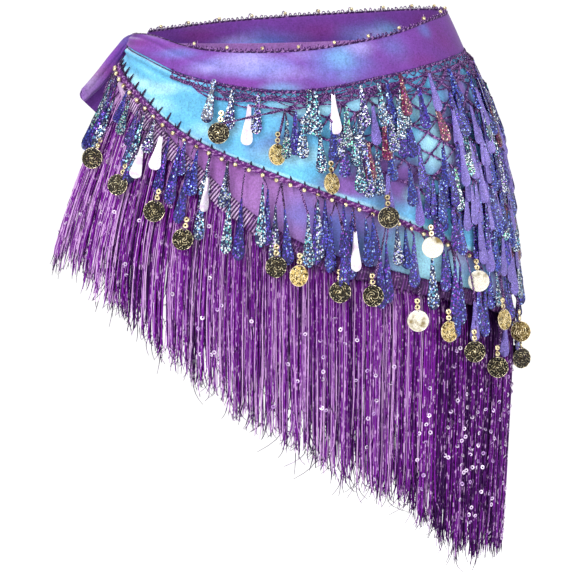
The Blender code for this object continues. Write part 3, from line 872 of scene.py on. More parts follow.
@cache
def tie_dye_group():
    """Dyes that run into a ground colour with blotched edges, and painted light and shade from the shade
    attribute: lighter and paler above 0.5, darker below.
    """
    colours = ("Ground", "Sky", "Blue", "Rose", "Lilac", "Pale")
    numbers = {"Blotch Scale": 26.0, "Blotch Depth": 0.5}
    wiring, given = new_group("Tie dye", colours, numbers)
    cloth = wiring.add("ShaderNodeTexCoord").outputs["Object"]
    drawn_out = wiring.vector("MULTIPLY", cloth, (1.0, 1.0, 2.0))
    blotch = wiring.noise(drawn_out, given["Blotch Scale"], 4.0, 0.55)
    drift = wiring.times(wiring.minus(blotch, 0.5), given["Blotch Depth"])
    tone = wiring.noise(wiring.vector("ADD", cloth, (3.1, 1.7, 0.4)), 15.0, 3.0)
    blend = given["Ground"]
    for dye in DYES:
        amount = wiring.plus(wiring.attribute(dye), drift)
        blend = wiring.mix(wiring.ramp(amount, 0.08, 0.85), blend, given[dye.title()])
    deeper = wiring.mix(0.35, blend, given["Rose"])
    blend = wiring.mix(wiring.ramp(tone, 0.52, 0.78), blend, deeper)
    # Painted light and shade: the shade attribute lightens and pales the cloth where it is lit and darkens it
    # in shade.
    shade = wiring.attribute("shade")
    lit_saturation = wiring.minus(1.0, wiring.times(wiring.ramp(shade, 0.5, 1.0), 0.55))
    value = wiring.scaled(wiring.minus(shade, 0.5), 1.3, 1.0)
    colour = wiring.tinted(blend, Saturation=lit_saturation, Value=value)
    return put_out(wiring, Color=colour)


@cache
def nap_group():
    """The fine mottled nap of velvet: colour, roughness and normal."""
    wiring, given = new_group("Velvet nap", ("Color",), {"Depth": 0.3, "Height": 0.0004})
    cloth = wiring.add("ShaderNodeTexCoord").outputs["Object"]
    grain = wiring.noise(cloth, 620.0, 2.0, 0.75)
    brushed = wiring.noise(wiring.vector("MULTIPLY", cloth, (1.0, 1.0, 0.45)), 210.0, 3.0, 0.6)
    broad = wiring.noise(cloth, 34.0, 2.0)
    mottle = wiring.plus(wiring.times(grain, 0.8), wiring.times(brushed, 0.3))
    mottle = wiring.plus(mottle, wiring.times(broad, 0.2))
    swing = wiring.times(wiring.minus(mottle, 0.65), given["Depth"])
    value = wiring.scaled(swing, 2.4, 1.0)
    colour = wiring.tinted(given["Color"], Value=value)
    rough = wiring.scaled(mottle, 0.25, 0.62)
    normal = wiring.bump(mottle, 0.6, given["Height"])
    return put_out(wiring, Color=colour, Roughness=rough, Normal=normal)


@cache
def yarn_group():
    """Plied yarn: fibres, a shade for each cord, and painted glints along the twist and at each stitch."""
    numbers = {"Glint Length": 1.3, "Stitches": 0.0, "Glints": 0.5, "Shade Spread": 0.6}
    wiring, given = new_group("Yarn", ("Dark", "Main", "Light"), numbers)
    flat = wiring.attribute("flat", "Vector")
    shade = wiring.attribute("shade")
    pitch = wiring.math("DIVIDE", 1.0, given["Glint Length"])
    stretched = wiring.vector("MULTIPLY", flat, (1.0, 2.0, 1.0))
    fibre = wiring.noise(stretched, pitch, 2.0, 0.6)
    soft = wiring.noise(flat, 0.09, 2.0)
    depth = wiring.minus(wiring.plus(shade, soft), 0.5)
    spread = wiring.scaled(wiring.minus(depth, 0.5), given["Shade Spread"], 0.5)
    body = wiring.mix(wiring.ramp(spread, 0.12, 0.62), given["Dark"], given["Main"])
    body = wiring.mix(wiring.times(wiring.ramp(spread, 0.86, 1.35), 0.9), body, given["Light"])
    # Painted glints: pale flecks along the fibres, and a regular one at each stitch.
    along = wiring.add("ShaderNodeSeparateXYZ", {"Vector": flat}).outputs[0]
    stitch_glint = wiring.math("SINE", wiring.times(along, wiring.times(pitch, 2 * math.pi)))
    lit = wiring.plus(fibre, wiring.times(stitch_glint, wiring.times(given["Stitches"], 0.14)))
    held_back = wiring.times(given["Glints"], wiring.ramp(spread, -0.3, 0.6))
    glint = wiring.times(wiring.ramp(lit, 0.55, 0.63), held_back)
    colour = wiring.mix(glint, body, given["Light"])
    rough = wiring.scaled(fibre, 0.3, 0.38)
    normal = wiring.bump(fibre, 0.7, 0.0003)
    return put_out(wiring, Color=colour, Roughness=rough, Normal=normal)


@cache
def spangle_group():
    """Glittering cells pressed into foil, each with its own slant and colour, the pale and deep cells and
    their brightness partly painted reflection.
    """
    shares = {"Deep Share": 0.25, "Pale Share": 0.30, "Accent Share": 0.15}
    numbers = {"Cell Size": 1.7, **shares, "Slant": 0.5, "Hue Spread": 0.1, "Tint": 0.0}
    wiring, given = new_group("Spangle cells", ("Deep", "Main", "Pale", "Accent"), numbers)
    flat = wiring.attribute("flat", "Vector")
    scale = wiring.math("DIVIDE", 1.0, given["Cell Size"])
    cells = wiring.add("ShaderNodeTexVoronoi", {"Vector": flat, "Scale": scale, "Randomness": 0.9})
    picks = wiring.add("ShaderNodeSeparateColor", {"Color": cells.outputs["Color"]}).outputs
    # Partly painted reflection: the pale and deep cells, and the brightness of each cell below, stand in for
    # the bright and dark parts of the room that the foil mirrors.
    pale = wiring.math("GREATER_THAN", picks[0], wiring.minus(1.0, given["Pale Share"]))
    deep = wiring.math("LESS_THAN", picks[0], given["Deep Share"])
    accent = wiring.math("LESS_THAN", picks[1], given["Accent Share"])
    own = wiring.scaled(wiring.attribute("shade"), 0.7, wiring.times(picks[2], 0.3))
    turn = wiring.scaled(wiring.minus(own, 0.5), given["Hue Spread"], 0.5)
    shimmer = wiring.tinted(given["Accent"], Hue=turn)
    blend = wiring.mix(given["Tint"], given["Main"], shimmer)
    blend = wiring.mix(accent, blend, shimmer)
    blend = wiring.mix(deep, blend, given["Deep"])
    blend = wiring.mix(pale, blend, given["Pale"])
    blend = wiring.mix(wiring.ramp(cells.outputs["Distance"], 0.30, 0.66), blend, given["Deep"])
    tone = wiring.scaled(picks[2], 0.5, 0.75)
    colour = wiring.tinted(blend, Value=tone)
    aside = wiring.vector("SUBTRACT", flat, cells.outputs["Position"])
    lean = wiring.vector("SUBTRACT", cells.outputs["Color"], (0.5, 0.5, 0.5))
    facet = wiring.vector("DOT_PRODUCT", aside, lean, output="Value")
    normal = wiring.bump(facet, given["Slant"], 0.001)
    rough = wiring.scaled(picks[1], 0.22, 0.14)
    return put_out(wiring, Color=colour, Roughness=rough, Normal=normal)


@cache
def wear_group():
    """Fine scratches and a darker film on metal, which on the mirror foil is painted reflection."""
    numbers = {"Film Size": 2.4, "Film Edge": 0.6, "Roughness": 0.2}
    wiring, given = new_group("Metal wear", ("Color", "Film"), numbers)
    place_on = wiring.add("ShaderNodeTexCoord").outputs["Object"]
    film = wiring.noise(place_on, wiring.math("DIVIDE", 1000.0, given["Film Size"]), 3.0, 0.6)
    scratch = wiring.noise(wiring.vector("MULTIPLY", place_on, (1.0, 1.0, 5.0)), 700.0, 2.0, 0.7)
    covered = wiring.ramp(wiring.minus(film, given["Film Edge"]), -0.05, 0.10)
    colour = wiring.mix(covered, given["Color"], given["Film"])
    rough = wiring.scaled(covered, 0.2, given["Roughness"])
    rough = wiring.scaled(scratch, 0.2, rough)
    normal = wiring.bump(film, 0.35, 0.0004)
    return put_out(wiring, Color=colour, Roughness=rough, Normal=normal)


def new_material(name, group, values, **sockets):
    """A material whose colour, roughness and normal come from a group, and the rest from its own sockets."""
    material = bpy.data.materials.new(name)
    material.use_nodes = True
    wiring = Wiring(material.node_tree)
    shader = material.node_tree.nodes["Principled BSDF"]
    effect = wiring.add("ShaderNodeGroup", values, node_tree=group)
    for label, socket in (("Color", "Base Color"), ("Roughness", "Roughness"), ("Normal", "Normal")):
        wiring.feed(shader.inputs[socket], effect.outputs[label])
    for label, value in sockets.items():
        wiring.feed(shader.inputs[label.replace("_", " ")], value)
    return material


def velvet(name, ground, pale):
    """Tie-dyed velvet on a ground colour, and the colour where it is palest, which on the panels is partly
    painted light.
    """
    cloth = bpy.context.scene.scarf_cloth
    sheen = {"Sheen_Weight": 0.18, "Sheen_Roughness": 0.35, "Sheen_Tint": (0.85, 0.8, 1.0, 1.0)}
    material = new_material(name, nap_group(), {"Depth": cloth.nap}, **sheen, Specular_IOR_Level=0.25)
    wiring = Wiring(material.node_tree)
    dyes = wiring.add("ShaderNodeGroup", node_tree=tie_dye_group())
    colours = {"Ground": ground, "Pale": pale, "Sky": cloth.sky, "Blue": cloth.blue, "Rose": cloth.rose}
    for label, value in {**colours, "Lilac": cloth.lilac}.items():
        wiring.feed(dyes.inputs[label], tuple(value))
    nap = next(node for node in wiring.tree.nodes if getattr(node, "node_tree", None) == nap_group())
    wiring.feed(nap.inputs["Color"], dyes.outputs["Color"])
    return material


@cache
def band_velvet():
    """The band, the knot and the tails."""
    cloth = bpy.context.scene.scarf_cloth
    return velvet("band_velvet", cloth.violet, cloth.lavender)


@cache
def upper_velvet():
    """The upper panel."""
    cloth = bpy.context.scene.scarf_cloth
    return velvet("upper_velvet", cloth.turquoise, cloth.pale)


@cache
def lower_velvet():
    """The lower panel."""
    cloth = bpy.context.scene.scarf_cloth
    return velvet("lower_velvet", cloth.mauve, cloth.pale)


def yarn(name, main, light, dark_share, **values):
    """Crochet yarn, whose dark colour is a share of its main colour."""
    dark = tuple(value * dark_share for value in main)
    colours = {"Dark": dark, "Main": tuple(main), "Light": tuple(light)}
    return new_material(name, yarn_group(), {**colours, **values}, Sheen_Weight=0.04, Specular_IOR_Level=0.25)


@cache
def plum_yarn():
    """The edging, the net and the band's lower edge."""
    crochet = bpy.context.scene.scarf_crochet
    # The glints and the stitch glints are painted highlights.
    stitches = {"Glints": 0.75, "Glint Length": 2.4, "Stitches": 1.0}
    return yarn("plum_yarn", crochet.plum, crochet.plum_light, 0.25, **stitches)


@cache
def magenta_yarn():
    """The hems."""
    crochet = bpy.context.scene.scarf_crochet
    # The glints and the stitch glints are painted highlights.
    stitches = {"Glints": 0.95, "Glint Length": 2.4, "Stitches": 1.0}
    return yarn("magenta_yarn", crochet.magenta, crochet.magenta_light, 0.3, **stitches)


@cache
def rib_yarn():
    """The ribs over the fringe, a dark one and a pale one by turns."""
    colours = {"Dark": linear(66, 18, 88), "Main": linear(132, 66, 156), "Light": linear(240, 208, 248)}
    # The glints are painted highlights.
    values = {"Glints": 0.35, "Glint Length": 3.0, "Shade Spread": 1.3}
    return new_material("rib_yarn", yarn_group(), {**colours, **values})


@cache
def rayon():
    """The fringe's shiny twisted threads."""
    fringe = bpy.context.scene.scarf_fringe
    colours = {"Dark": tuple(fringe.dark), "Main": tuple(fringe.main), "Light": tuple(fringe.light)}
    # The glints are painted highlights along the threads.
    values = {"Glint Length": 8.5, "Glints": 0.8, "Shade Spread": 1.2}
    gloss = {"Specular_IOR_Level": 0.22, "Specular_Tint": (0.80, 0.55, 0.95, 1.0)}
    return new_material("rayon", yarn_group(), {**colours, **values}, **gloss)


# Each foil's four colours, and the shares of its cells and of its shimmer; the pale and deep cells are partly
# painted reflection.
FOIL_COLOURS = ("Deep", "Main", "Pale", "Accent")
FOIL_SHARES = ("Deep Share", "Pale Share", "Accent Share", "Hue Spread", "Tint")
FOILS = {
    "silver": (
        ((26, 30, 78), (142, 160, 228), (240, 250, 255), (116, 196, 232)),
        (0.30, 0.36, 0.28, 0.6, 0.45),
    ),
    "blue": (((26, 18, 92), (74, 80, 212), (170, 200, 252), (92, 58, 184)), (0.34, 0.10, 0.35, 0.16, 0.25)),
    "red": (((74, 8, 52), (184, 26, 78), (255, 224, 196), (140, 38, 120)), (0.36, 0.16, 0.4, 0.14, 0.3)),
}


@cache
def foil(finish):
    """A holographic foil."""
    colours, shares = FOILS[finish]
    values = {"Cell Size": bpy.context.scene.scarf_spangles.cell / MM, **dict(zip(FOIL_SHARES, shares))}
    values.update({label: linear(*shown) for label, shown in zip(FOIL_COLOURS, colours)})
    gloss = {"Metallic": 0.55, "Coat_Weight": 0.5, "Coat_Roughness": 0.06}
    return new_material(f"{finish}_foil", spangle_group(), values, **gloss)


@cache
def violet_foil():
    """Plain violet plastic with a fine glitter in it."""
    violet = tuple(bpy.context.scene.scarf_spangles.violet)
    shades = {"Deep": 0.6, "Main": 1.0, "Pale": 1.9, "Accent": 0.9}
    colours = {label: tuple(min(1.0, value * shade) for value in violet) for label, shade in shades.items()}
    values = {"Cell Size": 0.9, **colours, "Deep Share": 0.3, "Pale Share": 0.2, "Slant": 0.2}
    gloss = {"Metallic": 0.15, "Coat_Weight": 0.3, "Coat_Roughness": 0.2}
    return new_material("violet_foil", spangle_group(), values, **gloss)


def metal(name, shown, film, size, edge, roughness, metallic=1.0):
    """A metal with wear: its colour, and the film that covers it past an edge of a noise of a size in mm."""
    values = {"Color": tuple(shown), "Film": film, "Film Size": size, "Film Edge": edge}
    gloss = {"Metallic": metallic, "Coat_Weight": 0.2, "Coat_Roughness": 0.05}
    return new_material(name, wear_group(), {**values, "Roughness": roughness}, **gloss)


@cache
def mirror():
    """Bright silvered foil, with pale lavender patches of painted reflection."""
    return metal("mirror_foil", linear(248, 244, 252), linear(226, 208, 232), 7.0, 0.5, 0.16, 0.4)


@cache
def gold():
    """The beads and the coins' relief."""
    return metal("gold", bpy.context.scene.scarf_spangles.gold, linear(120, 88, 44), 3.0, 0.56, 0.16)


@cache
def enamel():
    """The black ground of the dark coins, and the dark disc of painted shade in the holes of the beads over
    the coins.
    """
    return metal("black_enamel", linear(20, 18, 18), linear(74, 62, 44), 2.6, 0.56, 0.2, 0.7)


@cache
def filigree():
    """The relief of the dark coins, with wear: gold only where it is rubbed bright."""
    return metal("filigree", linear(234, 222, 184), linear(38, 32, 26), 2.6, 0.47, 0.16)


@cache
def old_gold():
    """The ground of the plain gold coins, dulled and dark in its hollows."""
    return metal("old_gold", linear(196, 170, 104), linear(72, 56, 28), 2.8, 0.50, 0.2)


@cache
def pale_gold():
    """The polished backs of coins, painted near white as the glare of the light that they catch over most of
    their face.
    """
    return metal("pale_gold", linear(255, 250, 236), linear(150, 130, 82), 17.0, 0.55, 0.16, 0.55)


@cache
def sequin_foil():
    """The ring sequins."""
    return metal("sequin_foil", linear(232, 210, 240), linear(176, 132, 200), 8.0, 0.5, 0.16, 0.6)


# The finish of each part of a mesh, and the material that it takes.
FINISHES = {
    "plum": plum_yarn,
    "gold": gold,
    "silver": lambda: foil("silver"),
    "blue": lambda: foil("blue"),
    "red": lambda: foil("red"),
    "violet": violet_foil,
    "mirror": mirror,
    "enamel": enamel,
    "filigree": filigree,
    "old gold": old_gold,
    "pale": pale_gold,
    "magenta": magenta_yarn,
}


def finish_materials():
    return [find() for find in FINISHES.values()]


# Cloth.

# How many columns and rows of faces each cloth has, and the mm of cloth to a degree round the hips.
CLOTH_GRIDS = {"band": (320, 16), "upper": (280, 26), "lower": (280, 28)}
CLOTH_PER_DEGREE = 3.2
# How a cloth's edge is rounded: how far in each row lies, in mm, and the share of the thickness there.
EDGE_STEPS = (0.0, 0.3, 1.0)
EDGE_ROUND = (0.0, 0.7, 1.0)


def dye_amounts(piece, angle, height):
    """How much of each dye has run into the cloth at each place; on the panels the pale one is partly painted
    light.
    """
    amounts = {dye: np.zeros(np.shape(angle)) for dye in DYES}
    for dye in DYES:
        for at, level, half_angle, half_height, strength in DYE_PATCHES.get((piece, dye), ()):
            aside, up = (angle - at) / half_angle, (height - level) / half_height
            amounts[dye] = np.maximum(amounts[dye], strength * np.exp(-0.9 * (aside**2 + up**2)))
    if piece == "upper":
        edge = 0.9 * hump(height - upper_hem(angle), 1.2, 1.3)
        amounts["pale"] = np.maximum(amounts["pale"], edge)
    return {dye: amount.reshape(-1) for dye, amount in amounts.items()}


def rumples(angle, height, seed):
    """Small uneven folds, from -1 to 1."""
    chance = random.Random(seed)
    total = np.zeros(np.broadcast(angle, height).shape)
    for _ in range(7):
        turn = chance.uniform(0.08, 0.30)
        rise = chance.uniform(-0.10, 0.10)
        phase = chance.uniform(0, 2 * math.pi)
        total = total + np.sin(angle * turn + height * rise + phase) / 3.2
    return np.clip(total, -1, 1)


def cloth_shell(gather, piece, top, bottom, offset, thickness, relief):
    """A shell of cloth round the hips from one side of the knot to the other."""
    columns, rows = CLOTH_GRIDS[piece]
    angles = np.linspace(CLOTH_START, CLOTH_END, columns + 1)
    high, low = top(angles)[:, None], bottom(angles)[:, None]
    inner_edge = EDGE_STEPS[-1]
    steps = np.array(EDGE_STEPS)[None]
    body = (high - inner_edge) + (low - high + 2 * inner_edge) * np.linspace(0, 1, rows + 1)[None, 1:-1]
    heights = np.concatenate([high - steps, body, low + steps[:, ::-1]], axis=1)
    rounding = np.concatenate([EDGE_ROUND, np.ones(rows - 1), EDGE_ROUND[::-1]])
    wide = angles[:, None] + np.zeros_like(heights)
    lift = relief(wide, heights, (high - heights) / (high - low))
    middle, half = offset + thickness / 2, thickness / 2 * rounding[None]
    outer = place(wide, heights, middle + half + lift)
    inner = place(wide, heights, middle - half + lift)
    ring, angles, heights = (
        np.concatenate([face, back[:, -2:0:-1]], axis=1)
        for face, back in ((outer, inner), (wide, wide), (heights, heights))
    )
    index = np.arange(angles.size).reshape(angles.shape)
    last = wide.shape[1] - 1
    caps, tips = [], []
    for end, line in enumerate((index[0], index[-1])):
        back = [line[0], *line[:last:-1], line[last]]
        for i in range(last):
            face = [line[i], line[i + 1], back[i + 1], back[i]][:: 1 if end else -1]
            if i in (0, last - 1):
                tips.append(list(dict.fromkeys(face)))
            else:
                caps.append(face)
    # Painted light and shade from the folds, and on the band a painted shade that darkens it towards the
    # point.
    shades = fold_shade(angles, heights, relief, top, bottom)
    if piece == "band":
        shades = shades - 0.22 * hump(angles, POINT_ANGLE, 58)
    form = ring, [skin(index), np.array(caps), np.array(tips)]
    flat = np.stack([angles * CLOTH_PER_DEGREE, heights, np.zeros_like(heights)], axis=-1)
    gather.add(form, 0, shades.reshape(-1), flat, dye_amounts(piece, angles, heights))


def fold_shade(angle, height, relief, top, bottom):
    """Painted light and shade in the cloth's folds: 0.5 where it is flat, lighter where it turns up or to the
    left, darker where it turns down or to the right.
    """

    def lift(aside, up):
        high, low = top(angle + aside), bottom(angle + aside)
        return relief(angle + aside, height + up, (high - height - up) / (high - low))

    rise = (lift(0, -1.0) - lift(0, 1.0)) / 2.0
    turn = (lift(0.5, 0) - lift(-0.5, 0)) / 3.0
    return np.clip(0.5 + 0.42 * rise + 0.25 * turn, 0.2, 0.85)


def cloth_areas(top, bottom):
    """The flat length, the greatest width and the area of cloth round the hips, in metres."""
    angles = np.linspace(CLOTH_START, CLOTH_END, 400)
    high, low = top(angles), bottom(angles)
    middle = place(angles, (high + low) / 2, 0)
    middle[:, 2] = 0
    steps = np.linalg.norm(np.diff(middle, axis=0), axis=1)
    widths = (high - low)[1:]
    return steps.sum() * MM, widths.max() * MM, (steps * widths).sum() * MM * MM


def declare_cloth(top, bottom):
    """Works out the cloth's flat length, greatest width and area, and does nothing more with them."""
    length, width, area = cloth_areas(top, bottom)


class SCARF_OT_waistband(bpy.types.Operator):
    """The folded velvet band that ties round the hips"""

    bl_idname = "scarf.waistband"
    bl_label = "Waistband"

    def execute(self, context):
        crease = context.scene.scarf_cloth.crease / MM

        def relief(angle, height, down):
            near_knot = clamped((np.abs(angle + 16) - 88) / 60)
            wander = 1.2 * np.sin(angle * 0.045) + 0.5 * np.sin(angle * 0.13 + 1)
            folds = 0.5 * np.sin(2 * math.pi * down * 1.7 + wander * 2.0) * near_knot
            past = down - 0.06 - 0.44 * clamped((angle + 182) / 66)
            drawn = clamped((-104 - angle) / 26)
            folds = folds + drawn * (1.2 * hump(past, -0.17, 0.13) - hump(past, 0, 0.08))
            belly = 0.5 * np.sin(math.pi * down)
            slack = 0.28 * rumples(angle, height, "band")
            return crease * folds * (0.4 + 0.6 * near_knot) + belly + slack

        gather = Gather()
        cloth_shell(gather, "band", band_top, band_bottom, BAND_OFFSET, BAND_THICKNESS, relief)
        piece = gather.piece("waistband_velvet", [band_velvet()], "waistband", "waistband")
        declare_cloth(band_top, band_bottom)
        return {"FINISHED"}


class SCARF_OT_panels(bpy.types.Operator):
    """The two velvet panels that overlap under the band"""

    bl_idname = "scarf.panels"
    bl_label = "Panels"

    def execute(self, context):
        cloth = context.scene.scarf_cloth
        rumple, roll = cloth.rumple / MM, cloth.roll / MM

        def upper_relief(angle, height, down):
            below = band_bottom(angle) - height
            reach = clamped((-108 - angle) / 16) * clamped((angle + 182) / 10)
            fold = roll * hump(below, 4.5, 2.4) * reach
            crease = -0.8 * hump(below, 9.5, 3.0) * reach
            swell = hump(down - 0.46, 0.10 * np.sin(angle * 0.07), 0.11) * reach
            dip = hump(down - 0.72, -0.08 * np.sin(angle * 0.09), 0.10) * reach
            uneven = rumple * 0.8 * rumples(angle, height, "upper")
            return uneven + fold + crease + 1.3 * swell - 0.7 * dip + 0.3

        def lower_relief(angle, height, down):
            return rumple * 0.7 * rumples(angle, height, "lower")

        lower, upper = Gather(), Gather()
        cloth_shell(lower, "lower", panel_top, lower_hem, LOWER_PANEL_OFFSET, PANEL_THICKNESS, lower_relief)
        piece = lower.piece("lower_panel_velvet", [lower_velvet()], "lower_panel", "lower_panel")
        declare_cloth(panel_top, lower_hem)
        cloth_shell(upper, "upper", panel_top, upper_hem, UPPER_PANEL_OFFSET, PANEL_THICKNESS, upper_relief)
        piece = upper.piece("upper_panel_velvet", [upper_velvet()], "upper_panel", "upper_panel")
        declare_cloth(panel_top, upper_hem)
        return {"FINISHED"}


# Crochet.

GOLD_BEAD = ((0, -0.46), (0.24, -0.46), (0.42, -0.28), (0.5, 0.0), (0.42, 0.28), (0.24, 0.46), (0, 0.46))


def bead(width, height):
    """A gold bead with its hole along z."""
    return lathed([(radius * width, up * height) for radius, up in GOLD_BEAD], 10)


def facing_axes(outward, down=None):
    """What x, y and z turn into for forms that are drawn x across, y out and z down."""
    if down is None:
        down = np.zeros_like(outward)
        down[..., 2] = -1.0
    across = unit(np.cross(down, outward))
    return np.stack([across, unit(np.cross(across, down)), down], axis=-2)


def beads_along(gather, edge, angles, fall, offset, width):
    """Gold beads threaded below an edge, with their holes along it."""
    points, outward, around = on_hips(angles, edge(angles) - fall, offset)
    axes = np.stack([outward, np.cross(around, outward), around], axis=-2)
    gather.add(scatter(bead(width, width * 0.92), points, axes), "gold")


def picots(gather, edge, angles, offset, height, radius, finish, seed):
    """Little loops of yarn that stand up from a cord."""
    chance = random.Random(seed)
    paths = []
    for angle in angles:
        tall = height * chance.uniform(0.5, 1.3)
        lean = chance.uniform(-1.2, 1.2)
        wide = chance.uniform(0.8, 1.6)
        turns = np.linspace(0, math.pi, 6)
        aside = -np.cos(turns) * wide + lean * np.sin(turns)
        rise = np.sin(turns) * tall
        base = float(edge(angle))
        spread = degrees_in(angle, base, aside)
        paths.append(place(angle + spread, base + rise, offset + 0.4 * np.sin(turns)))
    paths = np.array(paths)
    form = tubes(paths, radius, 4, (0, 0, 1.0))
    gather.add(form, finish, 0.5, form[0])


class SCARF_OT_edging(bpy.types.Operator):
    """The crochet cord along the band's top, with its picots and gold beads"""

    bl_idname = "scarf.edging"
    bl_label = "Waist edging"

    def execute(self, context):
        radius = context.scene.scarf_crochet.edging_radius / MM
        middle = BAND_OFFSET + BAND_THICKNESS / 2

        def line(angle):
            return band_top(angle) + SEAM_GAP + 1.2

        gather = Gather()
        bare = -128
        round_cord(gather, line, CLOTH_START, bare, middle, radius * 0.6, 4.2, lift=-1.2, shade=0.1)
        thick = radius * 0.85
        round_cord(gather, line, bare, CLOTH_END, middle, thick, 4.2, lift=-0.9, shade=0.2, bumps=0.25)
        stitches = steps_along(line, bare, CLOTH_END - 1, 4.6)
        picots(gather, line, stitches, middle, 2.0, 0.5, 0, "edging")
        tufts = steps_along(line, -126, 150, 33)
        picots(gather, line, tufts + 0.8, middle, 4.6, 0.45, 0, "tufts")
        beads_along(gather, line, tufts, -2.4, middle, 3.6)
        gather.piece("waist_edging_crochet", finish_materials(), "waist_edging", "waist_edging")
        return {"FINISHED"}


def net_corners(knots):
    """The knots at the corners of a net's gaps, as (angle, height)."""
    return np.array([knots[key] for key in sorted({corner for cell in net_cells(knots) for corner in cell})])


def from_to(first, second, t):
    """(angles, heights) on a straight line from one (angle, height) to another."""
    return first[0] + (second[0] - first[0]) * t, first[1] + (second[1] - first[1]) * t


def net_strands(knots, seed):
    """Paths along each side of the net's gaps, sagging a little, some of them doubled."""
    chance = random.Random(seed)
    cells = net_cells(knots)
    sides = sorted({tuple(sorted(pair)) for cell in cells for pair in zip(cell, cell[1:] + cell[:1])})
    t = np.linspace(0, 1, 10)
    paths = []
    for first, second in sides:
        angles, heights = from_to(knots[first], knots[second], t)
        for _ in range(1 + (chance.random() < 0.45)):
            sag = chance.uniform(0.4, 2.6) * 4 * t * (1 - t)
            bow = chance.uniform(-0.5, 0.5) * 4 * t * (1 - t)
            depth = NET_OFFSET + 0.9 + chance.uniform(0, 0.9)
            paths.append(place(angles + bow, heights - sag, depth))
    return np.array(paths)


def net_swags(knots, seed):
    """Slack chains that loop under the band, past one or more of the net's top knots."""
    chance = random.Random(seed)
    top = [knots[key] for key in sorted(key for key in knots if key[1] == 0)]
    t = np.linspace(0, 1, 18)
    arch = 4 * t * (1 - t)
    paths = []
    for i in range(len(top) - 1):
        for span in (1, 2, 2, 3):
            angles, heights = from_to(top[i], top[min(i + span, len(top) - 1)], t)
            slack = min(max((131 - max(abs(angles[0]), abs(angles[-1]))) / 16, 0.15), 1)
            sag = chance.uniform(1.0, 7.5) * span * arch * slack
            skew = chance.uniform(-1.0, 1.0) * arch
            heights = heights - sag + chance.uniform(-1.5, 3)
            paths.append(place(angles + skew, heights, NET_OFFSET + 0.8 + chance.uniform(0, 1.6)))
    return np.array(paths)


class SCARF_OT_net(bpy.types.Operator):
    """The crochet net over the panels"""

    bl_idname = "scarf.net"
    bl_label = "Net"

    def execute(self, context):
        radius = context.scene.scarf_crochet.net_radius / MM
        for name, (start, end) in NETS.items():
            knots = net_knots(start, end)
            strands = net_strands(knots, name)
            gather = Gather()
            shades = 0.3 + 0.5 * ((np.arange(len(strands)) * 7919) % 97) / 97
            twisted(gather, strands, outwards(strands), radius, 4.4, shade=shades, bumps=0.3)
            swags = net_swags(knots, name)
            shades = 0.15 + 0.6 * ((np.arange(len(swags)) * 3571) % 89) / 89
            twisted(gather, swags, outwards(swags), radius * 0.58, 3.6, shade=shades, bumps=0.3)
            angles, heights = net_corners(knots).T
            points, outward, _ = on_hips(angles, heights, NET_OFFSET + 1.0)
            lump = lathed([(0, -1.1), (0.95, -0.6), (1.25, 0.1), (0.8, 0.8), (0, 1.1)], 6)
            gather.add(scatter(lump, points, facing_axes(outward)), 0, 0.4)
            gather.piece(f"{name}_crochet", finish_materials(), name, name)
        return {"FINISHED"}


# Spangles, coins and beads.

TO_FACE = np.array(((1, 0, 0), (0, 0, 1), (0, 1, 0)), float)


def faced(form):
    """A form turned from facing up to facing out of the hips."""
    return form[0] @ TO_FACE, [np.asarray(f)[:, ::-1] for f in form[1]]


def coin_forms(radius, thickness):
    """(field, relief) of a coin with curling stems: x across, y out, z down, its middle at the origin."""
    half = thickness / 2
    face = radius * 0.93
    floor = half * 0.55
    segments, dots, leaves, steps = 24, 18, 5, 8
    field = lathed([(0, -floor), (face, -floor), (face, floor), (0, floor)], segments)
    rim_rows = [(face, -half), (radius * 0.99, -half), (radius, 0), (radius * 0.985, half), (face, half)]
    rim_rows += [(face - 0.15, floor - 0.05), rim_rows[0]]
    parts = [lathed(rim_rows, segments)]
    dome = [(1.0, 0.0), (0.8, 0.62), (0.0, 0.85)]
    dot = lathed([(r * 0.54, h * 0.54) for r, h in dome], 6)
    for i in range(dots):
        turn = 2 * math.pi * i / dots
        parts.append(moved(dot, (radius * 0.80 * math.cos(turn), radius * 0.80 * math.sin(turn), floor)))
    t = np.linspace(0, 1, steps)
    curls = []
    for i in range(leaves):
        start = 2 * math.pi * i / leaves
        turn, far = start + 2.6 * t, radius * (0.10 + 0.52 * t**0.8)
        stem = (far * np.cos(turn), far * np.sin(turn))
        loop = 5.2 * t + start + 1.2
        wide = radius * 0.17 * (1 - 0.65 * t)
        leaf = (stem[0][4] * 1.22 + wide * np.cos(loop), stem[1][4] * 1.22 + wide * np.sin(loop))
        curls += [np.stack([across, up, np.full(steps, floor)], axis=1) for across, up in (stem, leaf)]
    parts.append(tubes(np.array(curls), np.linspace(0.48, 0.30, steps)[None], 4, (0, 0, 1.0)))
    parts.append(moved(lathed([(r * 1.1, h * 0.8) for r, h in dome], 8), (0, 0, floor)))
    return faced(field), faced(joined(*parts))


def ring_bead(width, height):
    """(ring, a dark disc of painted shade in its hole) of a bead seen along its hole: x across, y out, z
    down.
    """
    thick = width * 0.19
    middle = width / 2 - thick
    turns = np.radians(np.linspace(0, 360, 7))
    rows = [(middle + thick * math.cos(turn), thick * 1.25 * math.sin(turn)) for turn in turns]
    ring = lathed(rows, 12)
    hole = lathed([(0, -0.4), (middle * 0.8, -0.4), (middle * 0.8, 0.3), (0, 0.3)], 8)
    taller = (1, 1, height / width)
    return [(points * taller, faces) for points, faces in (faced(ring), faced(hole))]


def turned_axes(outward, around, down, yaw):
    """Axes for a form that hangs along down, and turns aside from facing outward by a yaw."""
    return facing_axes(unit(outward * math.cos(yaw) + around * math.sin(yaw)), down)


# The finishes of a coin's ground and of its relief.
COIN_FINISHES = {
    # White coins are painted glare, on their ground and their relief alike.
    "white coin": ("pale", "pale"),
    "dark coin": ("enamel", "filigree"),
    "gold coin": ("old gold", "gold"),
}


